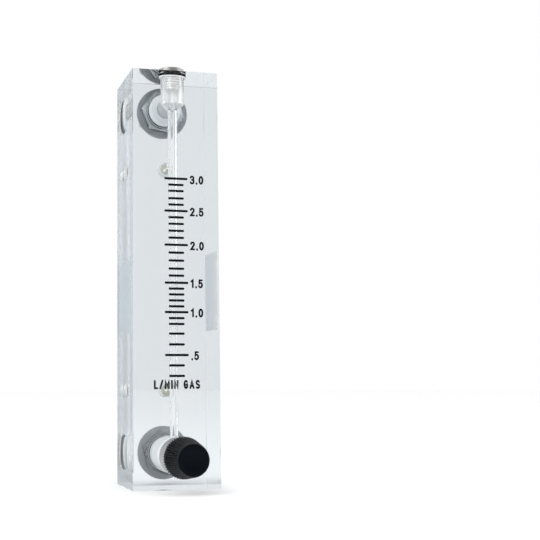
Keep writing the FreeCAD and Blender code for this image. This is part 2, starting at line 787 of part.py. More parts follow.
def flute_the_cone(body):
    """One tapering flute along the cone, repeated around the axis."""
    before = volume(body)
    ends = []
    for name, height, rim, deep, dia in (
        ("flute_rear", "-knob_rim", KNOB_REAR_RADIUS, "flute_rear_depth", "flute_rear_dia"),
        ("flute_front", "knob_length + knob_rim", "knob_front_dia / 2", "flute_front_depth", "flute_front_dia"),
    ):
        sketch = new_sketch(body, name, "XY_Plane", ("0", "0", height))
        draw_circle(sketch, "%s + %s / 2 - %s" % (rim, dia, deep), "0", dia + " / 2")
        ends.append(sketch)
    flute = body.newObject("PartDesign::SubtractiveLoft", "flute")
    flute.Profile = ends[0]
    flute.Sections = [ends[1]]
    flute.Ruled = True
    single = volume(body)
    if single >= before:
        raise RuntimeError("the flute cut nothing")
    around = body.newObject("PartDesign::PolarPattern", "flutes")
    around.Originals = [flute]
    axis = next(item for item in body.Origin.OriginFeatures if item.Role == "Z_Axis")
    around.Axis = (axis, [""])
    around.Angle = 360
    around.setExpression("Occurrences", bound("flute_count"))
    body.Tip = around
    if volume(body) >= single:
        raise RuntimeError("the flutes are missing")


# Inserts for wall screws

def mounting_insert(label, height):
    """A knurled threaded insert, flush with the back face; only its middle groove is cut."""
    body = new_body(label, ("0", BACK_FACE, height), TO_BACK)
    outer = "insert_dia / 2"
    inner = "insert_hole_dia / 2"
    middle = "-insert_length / 2"
    turned(body, "insert_turning", [
        (inner, "0"),
        (outer, "0"),
        (outer, middle + " + insert_groove_length / 2"),
        ("insert_groove_dia / 2", middle + " + insert_groove_length / 2"),
        ("insert_groove_dia / 2", middle + " - insert_groove_length / 2"),
        (outer, middle + " - insert_groove_length / 2"),
        (outer, "-insert_length"),
        (inner, "-insert_length"),
    ])
    return body


def build():
    """Makes every sub-part and returns them in the order they go together."""
    lower = "port_height"
    upper = UPPER_PORT
    return [
        body_block(),
        valve_body(),
        valve_seal("valve_seal_front", "front_seal_depth"),
        valve_seal("valve_seal_rear", REAR_SEAL_DEPTH),
        valve_stem(),
        valve_stem_seal(),
        control_knob(),
        float_ball(),
        upper_float_stop(),
        top_plug(),
        top_plug_seal(),
        pipe_fitting("inlet_fitting", lower, "lower_shoulder_angle"),
        fitting_seal("inlet_fitting_seal", lower),
        panel_washer("inlet_washer", lower),
        panel_nut("inlet_nut", lower),
        pipe_fitting("outlet_fitting", upper, "upper_shoulder_angle"),
        fitting_seal("outlet_fitting_seal", upper),
        panel_washer("outlet_washer", upper),
        panel_nut("outlet_nut", upper),
        mounting_insert("mounting_insert_lower", LOWER_INSERT),
        mounting_insert("mounting_insert_upper", UPPER_INSERT),
    ]


def check_and_write(pieces):
    """Stops on any failed object or bad solid, then writes one file for each sub-part."""
    DOC.recompute()
    for item in DOC.Objects:
        if "Invalid" in item.State or "Error" in item.State:
            raise RuntimeError("%s failed: %s" % (item.Label, item.State))
    os.makedirs("parts", exist_ok=True)
    for piece in pieces:
        shape = piece.Shape
        if shape.isNull() or not shape.isValid() or len(shape.Solids) != 1:
            raise RuntimeError("%s is not one valid solid" % piece.Label)
        shape.exportStep("parts/%s.step" % piece.Label)
        size = shape.BoundBox
        print("%-22s %9.1f mm3  x %.2f..%.2f  y %.2f..%.2f  z %.2f..%.2f" % (
            piece.Label, shape.Volume, size.XMin, size.XMax, size.YMin, size.YMax, size.ZMin, size.ZMax))


PIECES = build()
check_and_write(PIECES)
print("float rises from %.3f to %.3f mm" % (value(BALL_REST), value(STOP_TIP) - value("ball_dia / 2")))
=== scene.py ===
"""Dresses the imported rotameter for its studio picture.

The meter is one block of clear acrylic with drilled bores, two steel pipe fittings at the
back, a needle valve with a black fluted knob in front, and a printed scale.  Lengths are
millimetres where no other unit is given; the scale faces -Y and +Z is up.
"""

import logging
import math
from dataclasses import dataclass, field
from enum import Enum

import bpy
import numpy as np
from bpy.types import Material, Mesh, Node, NodeSocket, NodeTree, Object
from mathutils import Matrix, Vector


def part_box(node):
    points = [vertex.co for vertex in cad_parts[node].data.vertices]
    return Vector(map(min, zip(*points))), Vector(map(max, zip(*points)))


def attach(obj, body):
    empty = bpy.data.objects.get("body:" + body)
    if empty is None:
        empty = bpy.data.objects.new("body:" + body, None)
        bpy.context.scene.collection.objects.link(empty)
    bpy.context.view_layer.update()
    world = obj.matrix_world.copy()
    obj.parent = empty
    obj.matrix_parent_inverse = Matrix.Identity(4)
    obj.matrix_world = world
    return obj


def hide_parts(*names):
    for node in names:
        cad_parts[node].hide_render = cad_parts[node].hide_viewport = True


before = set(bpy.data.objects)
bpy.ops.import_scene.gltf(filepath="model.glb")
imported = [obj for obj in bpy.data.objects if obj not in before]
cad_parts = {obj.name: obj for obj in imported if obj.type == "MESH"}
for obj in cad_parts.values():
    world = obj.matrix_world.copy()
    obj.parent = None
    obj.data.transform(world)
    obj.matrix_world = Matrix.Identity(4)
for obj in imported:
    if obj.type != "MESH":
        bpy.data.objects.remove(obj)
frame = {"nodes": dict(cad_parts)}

LOG = logging.getLogger("rotameter")
MM = 0.001

# Places that several pieces share
FRONT_FACE = -15.875
BACK_FACE = 15.875
BORE_LINE = -7.875
LOWER_PORT = 12.8
UPPER_PORT = 153.4
INSERTS = (37.85, 128.35)


class Body(Enum):
    """The rigid bodies that pieces ride on."""

    METER = "meter_body"
    FLOAT = "float"
    VALVE = "valve"


class Facing(Enum):
    """Where the local Z axis of a turned piece points, as a 3 by 3 turn."""

    UP = ((1, 0, 0), (0, 1, 0), (0, 0, 1))
    FRONT = ((1, 0, 0), (0, 0, -1), (0, 1, 0))
    BACK = ((1, 0, 0), (0, 0, 1), (0, -1, 0))


class Finish(Enum):
    """The finishes, each with the name of its material."""

    ACRYLIC = "clear_acrylic"
    # The two fittings are one steel in two tones: painted shade on the low one, painted light on
    # the high one.
    FITTING_LOW_PAINTED_SHADE = "fitting_steel_low_painted_shade"
    FITTING_HIGH_PAINTED_LIGHT = "fitting_steel_high_painted_light"
    # The two washers are one steel in two tones: painted light on the low one, painted shade on the
    # high one.
    WASHER_LOW_PAINTED_LIGHT = "washer_steel_low_painted_light"
    WASHER_HIGH_PAINTED_SHADE = "washer_steel_high_painted_shade"
    VALVE = "valve_steel"
    PLUG = "plug_steel"
    BALL = "ball_steel"
    BRASS = "insert_brass"
    KNOB = "knob_plastic"
    RUBBER = "seal_rubber"
    # Near-black finish of the turns of thread next to the back face.
    SEALANT = "near_black_thread_ring"
    STOP = "stop_plastic"
    INK = "scale_ink"
    FILM = "side_film"


# Meshes

BOX_FACES = [(0, 1, 3, 2), (4, 6, 7, 5), (0, 4, 5, 1), (2, 3, 7, 6), (0, 2, 6, 4), (1, 5, 7, 3)]
THREAD_FLANK = 0.8
OFF_AXIS = 0.02


@dataclass
class Grid:
    """Points in rows and columns, closed around the columns, that make one surface.

    Attributes:
        points: Array of rows by columns by 3.
        closed_rows: Whether the last row joins the first one.
    """

    points: np.ndarray
    closed_rows: bool = False

    def quads(self) -> np.ndarray:
        """Lists the four corner indices of every quad.

        Returns:
            Array of quads by 4, ordered so that a profile that runs up its outside faces out.
        """
        rows, columns = self.points.shape[:2]
        index = np.arange(rows * columns).reshape(rows, columns)
        low = index if self.closed_rows else index[:-1]
        high = np.roll(index, -1, 0) if self.closed_rows else index[1:]
        corners = (low, np.roll(low, -1, 1), np.roll(high, -1, 1), high)
        return np.stack(corners, -1).reshape(-1, 4)


def merge_grids(grids: list) -> tuple:
    """Joins grids into one list of points and one list of faces.

    Args:
        grids: The Grid pieces to join.

    Returns:
        Points as an array by 3, and faces as a list.
    """
    points, faces, start = [], [], 0
    for grid in grids:
        flat = grid.points.reshape(-1, 3)
        points.append(flat)
        faces.extend((grid.quads() + start).tolist())
        start += len(flat)
    return np.concatenate(points), faces


def add_piece(name: str, mesh: Mesh, sharp: float) -> Object:
    """Shades a mesh smooth between its sharp edges and adds it as an object at the origin.

    Args:
        name: Name of the object.
        mesh: Its mesh, with its place in the points.
        sharp: Angle in degrees over which an edge is sharp.

    Returns:
        The new object.
    """
    mesh.polygons.foreach_set("use_smooth", np.ones(len(mesh.polygons), bool))
    mesh.set_sharp_from_angle(angle=math.radians(sharp))
    mesh.update()
    piece = bpy.data.objects.new(name, mesh)
    bpy.context.scene.collection.objects.link(piece)
    return piece


def make_piece(name: str, points: np.ndarray, faces: list, sharp: float = 35) -> Object:
    """Makes an object from points and faces.

    Args:
        name: Name of the object and of its mesh.
        points: Array of points by 3.
        faces: Lists of point indices, one for each face.
        sharp: Angle in degrees over which an edge is sharp.

    Returns:
        The new object.
    """
    mesh = bpy.data.meshes.new(name)
    mesh.from_pydata((points * MM).tolist(), [], faces)
    return add_piece(name, mesh, sharp)


def make_box(name: str, low: tuple, high: tuple) -> Object:
    """Makes a box.

    Args:
        name: Name of the object.
        low: Its lowest corner.
        high: Its highest corner.

    Returns:
        The new object.
    """
    picks = np.array([(x, y, z) for x in (0, 1) for y in (0, 1) for z in (0, 1)])
    return make_piece(name, np.where(picks, np.array(high, float), np.array(low, float)), BOX_FACES)


def facing_points(points: np.ndarray, facing: Facing, base: tuple) -> np.ndarray:
    """Turns local points to a facing and moves them to their base.

    Args:
        points: Array whose last axis holds x, y and z.
        facing: Where local Z points.
        base: Place of the local origin.

    Returns:
        The points in the shared frame.
    """
    return points @ np.array(facing.value, float).T + np.array(base, float)


def full_turn(columns: int) -> np.ndarray:
    """Lists equal steps of angle over a full turn."""
    return np.arange(columns) * 2 * np.pi / columns


def around(radius: np.ndarray, height: np.ndarray, turn: np.ndarray) -> np.ndarray:
    """Places points about local Z: each one is (r cos t, r sin t, z).

    Args:
        radius: Radii, by row or by row and column.
        height: Heights, by row or by row and column.
        turn: Angle of each column.

    Returns:
        Array of rows by columns by 3.
    """
    across, upward = radius * np.cos(turn), radius * np.sin(turn)
    return np.stack([across, upward, np.broadcast_to(height, across.shape)], -1)


def lathe(profile: np.ndarray, columns: int) -> np.ndarray:
    """Turns a profile about local Z.

    Args:
        profile: Array of points by 2: radius and height.
        columns: Number of steps around.

    Returns:
        Array of profile points by columns by 3.
    """
    return around(profile[:, :1], profile[:, 1:], full_turn(columns))


def off_middle(turn: np.ndarray, sectors: int) -> np.ndarray:
    """Measures angles from the middle of the nearest of several equal sectors.

    With h half a sector, the result is (t + h) mod 2 h, less h.

    Args:
        turn: Angles about the axis.
        sectors: Number of sectors in a full turn.

    Returns:
        Array of angles between -h and h.
    """
    half = np.pi / sectors
    return np.mod(turn + half, 2 * half) - half


def ring_profile(bore: float, outer: float, low: float, high: float, edge: float) -> np.ndarray:
    """Lists the profile of a flat ring with rounded outer edges.

    Args:
        bore: Radius of the hole.
        outer: Outer radius.
        low: Height of the low face.
        high: Height of the high face.
        edge: Size of the rounded edges.

    Returns:
        Array of radius and height.
    """
    nick = edge * 0.3
    return np.array([
        (bore, low), (outer - edge, low), (outer - nick, low + nick), (outer, low + edge),
        (outer, high - edge), (outer - nick, high - nick), (outer - edge, high), (bore, high),
    ])


def thread_wave(height: np.ndarray, turn: np.ndarray, pitch: np.ndarray) -> np.ndarray:
    """Depth of a screw thread below its crest, from 0 to 1.

    With f the fraction of height / pitch - turn / (2 pi), the depth is |2 f - 1| stretched
    about its middle and cut to 0..1, which leaves a small flat on crest and root.

    Args:
        height: Heights along the axis.
        turn: Angles about the axis.
        pitch: Height of one full turn.

    Returns:
        Array of depths.
    """
    part = np.mod(height / pitch - turn / (2 * np.pi), 1.0)
    return np.clip((np.abs(2 * part - 1) - 0.5) / THREAD_FLANK + 0.5, 0.0, 1.0)


# Shader helpers

VECTOR, VALUE = "NodeSocketVector", "NodeSocketFloat"
WHITE = (1.0, 1.0, 1.0, 1.0)
RELIEF = 0.00002


class Tree:
    """A node tree with short ways to add nodes and links."""

    def __init__(self, tree: NodeTree) -> None:
        """Takes the tree to add to."""
        self.tree = tree

    def node(self, kind: str, inputs: dict | None = None, **settings: object) -> Node:
        """Adds a node with its settings, constants and links.

        Args:
            kind: The node's type name after "ShaderNode".
            inputs: Socket name or number to a constant, or to an output socket to link.
            **settings: Attributes of the node.

        Returns:
            The new node.
        """
        made = self.tree.nodes.new("ShaderNode" + kind)
        for key, item in settings.items():
            setattr(made, key, item)
        for key, item in (inputs or {}).items():
            if isinstance(item, NodeSocket):
                self.tree.links.new(item, made.inputs[key])
            else:
                made.inputs[key].default_value = item
        return made

    def math(self, operation: str, *values: object) -> NodeSocket:
        """Adds a math node and gives its result."""
        return self.node("Math", dict(enumerate(values)), operation=operation).outputs[0]

    def vector(self, operation: str, *values: object) -> NodeSocket:
        """Adds a vector math node and gives its vector, or its value for a length."""
        made = self.node("VectorMath", dict(enumerate(values)), operation=operation)
        return made.outputs["Value" if operation == "LENGTH" else "Vector"]

    def mix(self, share: object, first: Node, second: Node) -> Node:
        """Adds a mix of two shader nodes, the second by the given share."""
        return self.node("MixShader", {"Fac": share, 1: first.outputs[0], 2: second.outputs[0]})

    def blend(self, start: object, stop: float, share: NodeSocket) -> NodeSocket:
        """Mixes a value towards a constant.

        Args:
            start: Value or socket at a share of 0.
            stop: Constant at a share of 1.
            share: Mask between 0 and 1.

        Returns:
            The mixed value.
        """
        mixed = self.node("Mix", {"Factor": share, "A": start, "B": stop}, data_type="FLOAT")
        return mixed.outputs["Result"]

    def spread(self, value: NodeSocket, given: tuple, wanted: tuple) -> NodeSocket:
        """Maps one range of a value to another, held at both ends.

        Args:
            value: The value.
            given: Start and end of its own range.
            wanted: Values or sockets for the start and the end of the result.

        Returns:
            The mapped value.
        """
        made = self.node("MapRange", {
            "Value": value, "From Min": given[0], "From Max": given[1],
            "To Min": wanted[0], "To Max": wanted[1],
        })
        return made.outputs["Result"]


class GroupTree(Tree):
    """A new shader node group with one output."""

    def __init__(self, name: str, inputs: dict, output: str) -> None:
        """Starts the group with its sockets.

        Args:
            name: Name of the group.
            inputs: Socket name to socket type.
            output: Name of the output, a value.
        """
        super().__init__(bpy.data.node_groups.new(name, "ShaderNodeTree"))
        for socket, kind in inputs.items():
            self.tree.interface.new_socket(name=socket, in_out="INPUT", socket_type=kind)
        self.tree.interface.new_socket(name=output, in_out="OUTPUT", socket_type=VALUE)
        self.given = self.tree.nodes.new("NodeGroupInput").outputs
        self.result = self.tree.nodes.new("NodeGroupOutput").inputs[output]

    def finish(self, value: NodeSocket) -> NodeTree:
        """Links the output and gives the finished group."""
        self.tree.links.new(value, self.result)
        return self.tree


class SharedGroups:
    """The node groups that several materials use."""

    def __init__(self) -> None:
        """Builds the groups."""
        self.depth = self._depth_group()
        self.reach = self._reach_group()
        self.rings = self._rings_group()
        self.grain = self._grain_group()

    def _depth_group(self) -> NodeTree:
        """Makes a mask that is 1 deeper than a distance inside a box and 0 on its faces.

        Returns:
            The group, with inputs Point, Half Size, Centre and Depth and output Mask.
        """
        sockets = {"Point": VECTOR, "Half Size": VECTOR, "Centre": VECTOR, "Depth": VALUE}
        group = GroupTree("depth_in_box", sockets, "Mask")
        moved = group.vector("SUBTRACT", group.given["Point"], group.given["Centre"])
        size = group.vector("ABSOLUTE", moved)
        room = group.vector("SUBTRACT", group.given["Half Size"], size)
        parts = group.node("SeparateXYZ", {0: room}).outputs
        least = group.math("MINIMUM", group.math("MINIMUM", parts[0], parts[1]), parts[2])
        return group.finish(group.math("GREATER_THAN", least, group.given["Depth"]))

    def _reach_group(self) -> NodeTree:
        """Makes a mask that is 1 near a point, by a distance that weighs each axis by a share.

        Returns:
            The group, with inputs Point, Centre, Across and Radius and output Mask.
        """
        sockets = {"Point": VECTOR, "Centre": VECTOR, "Across": VECTOR, "Radius": VALUE}
        group = GroupTree("near_axis", sockets, "Mask")
        moved = group.vector("SUBTRACT", group.given["Point"], group.given["Centre"])
        away = group.vector("LENGTH", group.vector("MULTIPLY", moved, group.given["Across"]))
        return group.finish(group.math("LESS_THAN", away, group.given["Radius"]))

    def _rings_group(self) -> NodeTree:
        """Makes the height of fine rings left by turning, about an axis along Y.

        The height is the sine of the distance from the axis plus the place along it, both
        over the pitch, blurred a little by noise.

        Returns:
            The group, with inputs Point, Centre and Pitch and output Height.
        """
        sockets = {"Point": VECTOR, "Centre": VECTOR, "Pitch": VALUE}
        group = GroupTree("turning_rings", sockets, "Height")
        moved = group.vector("SUBTRACT", group.given["Point"], group.given["Centre"])
        parts = group.node("SeparateXYZ", {0: moved}).outputs
        across = group.math("MULTIPLY", parts[0], parts[0])
        upward = group.math("MULTIPLY", parts[2], parts[2])
        radius = group.math("SQRT", group.math("ADD", across, upward))
        phase = group.math("DIVIDE", group.math("ADD", radius, parts[1]), group.given["Pitch"])
        noise = group.node("TexNoise", {
            "Vector": group.given["Point"], "Scale": 900.0, "Detail": 2.0,
        })
        return group.finish(group.math("SINE", group.math("ADD", phase, noise.outputs[0])))

    def _grain_group(self) -> NodeTree:
        """Makes an uneven value between two limits, for roughness and relief.

        Returns:
            The group, with inputs Point, Scale, Low and High and output Value.
        """
        sockets = {"Point": VECTOR, "Scale": VALUE, "Low": VALUE, "High": VALUE}
        group = GroupTree("uneven_value", sockets, "Value")
        noise = group.node("TexNoise", {
            "Vector": group.given["Point"], "Scale": group.given["Scale"],
            "Detail": 4.0, "Roughness": 0.6,
        })
        limits = (group.given["Low"], group.given["High"])
        return group.finish(group.spread(noise.outputs[0], (0.3, 0.7), limits))


class Shader(Tree):
    """A new material and its nodes."""

    def __init__(self, name: str) -> None:
        """Starts the material with only its output.

        Args:
            name: Name of the material.
        """
        self.material = bpy.data.materials.new(name)
        self.material.use_nodes = True
        super().__init__(self.material.node_tree)
        self.tree.nodes.clear()
        self.output = self.node("OutputMaterial")

    def group(self, group: NodeTree, inputs: dict) -> NodeSocket:
        """Adds a shared group, fed with Object coordinates at its Point input.

        Args:
            group: The group to use.
            inputs: Its other inputs.

        Returns:
            The group's result.
        """
        point = self.node("TexCoord").outputs["Object"]
        return self.node("Group", {"Point": point, **inputs}, node_tree=group).outputs[0]

    def sheen(self, groups: SharedGroups, scale: float, roughness: tuple) -> NodeSocket:
        """Adds an uneven roughness.

        Args:
            groups: The shared node groups.
            scale: Scale of its patches.
            roughness: Lowest and highest roughness.

        Returns:
            The roughness.
        """
        return self.group(groups.grain, {"Scale": scale, "Low": roughness[0], "High": roughness[1]})

    def relief(self, height: NodeSocket, strength: float) -> NodeSocket:
        """Adds a shallow bump and gives its normal."""
        bump = self.node("Bump", {"Strength": strength, "Distance": RELIEF, "Height": height})
        return bump.outputs["Normal"]

    def finish(self, surface: Node) -> Material:
        """Links the surface shader to the output and gives the material."""
        self.tree.links.new(surface.outputs[0], self.output.inputs["Surface"])
        return self.material


# Finishes


@dataclass(frozen=True)
class Zone:
    """A stretch of the bores whose walls differ from the other ones.

    Attributes:
        centre: Its middle.
        across: Share of each axis in the distance: 0 makes a cylinder along that axis.
        radius: Its reach.
        roughness: Roughness of its walls.
        white: Share of white scatter on them.
        tone: Tone of that scatter; where it is below white in the chamber and the passages it is
            painted shade.
    """

    centre: tuple
    across: tuple
    radius: float
    roughness: float
    white: float
    tone: float = 0.97


# Painted shade: the chamber's walls scatter a darker tone, 0.87.
CHAMBER_ZONE = Zone((0, BORE_LINE, 157.0), (1, 1, 0.5), 6.0, 0.3, 0.36, 0.87)
VALVE_ZONE = Zone((0, -6.0, LOWER_PORT), (1, 0.6, 1), 7.9, 0.3, 0.52)
PORT_ZONES = tuple(
    Zone((0, 10.9, height), (1, 8, 1), 6.9, 0.3, 1.0, 0.99) for height in (UPPER_PORT, LOWER_PORT)
)
# Painted shade: the passages' walls scatter grey, 0.5 in the upper one and 0.7 in the lower one,
# for the shade down these narrow holes.
PASSAGE_ZONES = (
    Zone((0, 3.5, UPPER_PORT), (1, 0.3, 1), 4.2, 0.3, 0.75, 0.5),
    Zone((0, 3.5, LOWER_PORT), (1, 0.3, 1), 4.2, 0.3, 0.75, 0.7),
)
INSERT_ZONES = tuple(Zone((0, 7.6, height), (1, 1, 1), 2.6, 0.15, 0.12) for height in INSERTS[::-1])
FLOAT_BORE_ZONE = Zone((0, BORE_LINE, 0), (1, 1, 0), 2.3, 0.07, 0.10)


@dataclass(frozen=True)
class Acrylic:
    """Clear acrylic: polished in front, dull on the other faces, frosted in the bores.

    Attributes:
        half_size: Half of the block's size, in metres.
        centre: The block's centre, in metres.
        skin: Depth under the faces where the bores begin, in metres.
        touch: Depth up to which a point counts as on a face, in metres.
        far: A length past every face, in metres.
        drilled: Roughness, share of white scatter and its tone on the drilled walls.
        zones: The walls that differ, each one laid over those before it.
        satin: Roughness of the side, top and bottom faces.
        milled: Roughness of the back face.
        matt: Share of the mirror image that the side, top and bottom faces lose.
        through: Share of the white scatter that goes on through the wall.
        index: Index of refraction.
        shade: Colour of the light that passes to other pieces.
        absorb: Colour that the block tends to with depth.
        density: Strength of the absorption, per metre.
    """

    half_size: tuple
    centre: tuple
    skin: float = 0.00045
    touch: float = 0.0001
    far: float = 1.0
    drilled: tuple = (0.3, 0.86, 0.97)
    zones: tuple = (
        CHAMBER_ZONE, VALVE_ZONE, *PORT_ZONES, *PASSAGE_ZONES, *INSERT_ZONES, FLOAT_BORE_ZONE,
    )
    satin: float = 0.04
    milled: float = 0.2
    matt: float = 0.78
    through: float = 0.25
    index: float = 1.49
    shade: tuple = (0.985, 0.99, 0.992, 1.0)
    absorb: tuple = (0.60, 0.67, 0.71, 1.0)
    density: float = 22.0

    def walls(self, shader: Shader, groups: SharedGroups) -> tuple:
        """Adds the values of the bores' walls.

        Args:
            shader: The material being built.
            groups: The shared node groups.

        Returns:
            Roughness, share of white scatter and its tone.
        """
        rough, white, tone = self.drilled
        for zone in self.zones:
            centre = tuple(place * MM for place in zone.centre)
            near = shader.group(groups.reach, {
                "Centre": centre, "Across": zone.across, "Radius": zone.radius * MM,
            })
            rough = shader.blend(rough, zone.roughness, near)
            white = shader.blend(white, zone.white, near)
            # Painted shade comes in here, with the darker tones of the chamber and passage zones.
            tone = shader.blend(tone, zone.tone, near)
        return rough, white, tone

    def make(self, name: str, groups: SharedGroups) -> Material:
        """Builds the material.

        Shadows and soft light pass straight through, so that the floor and the pieces in
        the block stay lit.

        Args:
            name: Name of the material.
            groups: The shared node groups.

        Returns:
            The material.
        """
        shader = Shader(name)
        across, along, upward = self.half_size
        boxes = (
            (self.half_size, self.centre, self.skin),
            ((across, self.far, upward), self.centre, self.touch),
            ((self.far,) * 3, (0.0, self.centre[1] + along - self.far, 0.0), self.touch),
        )
        inside, off_sides, off_back = (
            shader.group(groups.depth, {"Half Size": half, "Centre": centre, "Depth": depth})
            for half, centre, depth in boxes
        )
        rough, white, tone = self.walls(shader, groups)
        back_face = shader.blend(self.milled, 0.0, off_back)
        face = shader.math("MAXIMUM", shader.blend(self.satin, 0.0, off_sides), back_face)
        roughness = shader.math("MULTIPLY_ADD", inside, rough, face)
        glass = shader.node("BsdfGlass", {
            "Color": WHITE, "Roughness": roughness, "IOR": self.index,
        })
        haze = shader.node("BsdfDiffuse", {"Color": tone})
        glow = shader.node("BsdfTranslucent", {"Color": tone})
        frost = shader.math("MULTIPLY", inside, white)
        wall = shader.mix(frost, glass, shader.mix(self.through, haze, glow))
        dull = shader.node("BsdfRefraction", {
            "Color": WHITE, "Roughness": self.satin, "IOR": self.index,
        })
        leaving = shader.node("NewGeometry").outputs["Backfacing"]
        lost = shader.blend(shader.blend(self.matt, 0.0, off_sides), 0.0, leaving)
        path = shader.node("LightPath").outputs
        passing = shader.math("MAXIMUM", path["Is Shadow Ray"], path["Is Diffuse Ray"])
        clear = shader.node("BsdfTransparent", {"Color": self.shade})
        volume = shader.node("VolumeAbsorption", {"Color": self.absorb, "Density": self.density})
        shader.tree.links.new(volume.outputs[0], shader.output.inputs["Volume"])
        return shader.finish(shader.mix(passing, shader.mix(lost, wall, dull), clear))


@dataclass(frozen=True)
class TurnedMetal:
    """Turned or stamped metal with fine rings and an uneven sheen.

    Attributes:
        colour: Base colour.
        roughness: Lowest and highest roughness.
        axis: Height of the turning axis, which runs along Y.
        marks: Strength of the turning marks.
        pitch: Spacing of the turning marks, in metres per radian.
        patches: Scale of the uneven sheen.
    """

    colour: tuple
    roughness: tuple = (0.24, 0.36)
    axis: float = 0.0
    marks: float = 0.12
    pitch: float = 0.00004
    patches: float = 260.0

    def make(self, name: str, groups: SharedGroups) -> Material:
        """Builds the material.

        Args:
            name: Name of the material.
            groups: The shared node groups.

        Returns:
            The material.
        """
        shader = Shader(name)
        centre = (0.0, 0.0, self.axis * MM)
        rings = shader.group(groups.rings, {"Centre": centre, "Pitch": self.pitch})
        return shader.finish(shader.node("BsdfPrincipled", {
            "Base Color": self.colour, "Metallic": 1.0,
            "Roughness": shader.sheen(groups, self.patches, self.roughness),
            "Normal": shader.relief(rings, self.marks),
        }))


@dataclass(frozen=True)
class Moulded:
    """Moulded plastic, rubber, ink or sealant with a fine grain.

    Attributes:
        colour: Base colour.
        roughness: Lowest and highest roughness.
        specular: Specular level.
        grain: Strength of the grain.
        grain_scale: Scale of the grain.
        patches: Scale of the uneven sheen.
    """

    colour: tuple
    roughness: tuple = (0.38, 0.5)
    specular: float = 0.4
    grain: float = 0.15
    grain_scale: float = 5200.0
    patches: float = 420.0

    def make(self, name: str, groups: SharedGroups) -> Material:
        """Builds the material.

        Args:
            name: Name of the material.
            groups: The shared node groups.

        Returns:
            The material.
        """
        shader = Shader(name)
        grain = shader.group(groups.grain, {"Scale": self.grain_scale, "Low": 0.0, "High": 1.0})
        return shader.finish(shader.node("BsdfPrincipled", {
            "Base Color": self.colour, "Specular IOR Level": self.specular,
            "Roughness": shader.sheen(groups, self.patches, self.roughness),
            "Normal": shader.relief(grain, self.grain),
        }))


@dataclass(frozen=True)
class PaleFilm:
    """A thin pale film stuck on the block, with painted light and shade: paler where it is seen
    straight on, darker at a slant.

    Attributes:
        tone: Painted tone seen straight on and at a slant, standing in for how the film is lit from
            each side.
        slant: Slant, as 1 less its cosine, where the change starts and ends.
        roughness: Lowest and highest roughness.
        specular: Specular level.
        patches: Scale of the uneven sheen.
    """

    tone: tuple = (0.90, 0.785)
    slant: tuple = (0.28, 0.5)
    roughness: tuple = (0.5, 0.6)
    specular: float = 0.3
    patches: float = 420.0

    def make(self, name: str, groups: SharedGroups) -> Material:
        """Builds the material.

        Args:
            name: Name of the material.
            groups: The shared node groups.

        Returns:
            The material.
        """
        shader = Shader(name)
        # Painted light and shade: the base colour turns paler as the film faces the view.
        seen = shader.node("LayerWeight", {"Blend": 0.5}).outputs["Facing"]
        return shader.finish(shader.node("BsdfPrincipled", {
            "Base Color": shader.spread(seen, self.slant, self.tone),
            "Roughness": shader.sheen(groups, self.patches, self.roughness),
            "Specular IOR Level": self.specular,
        }))


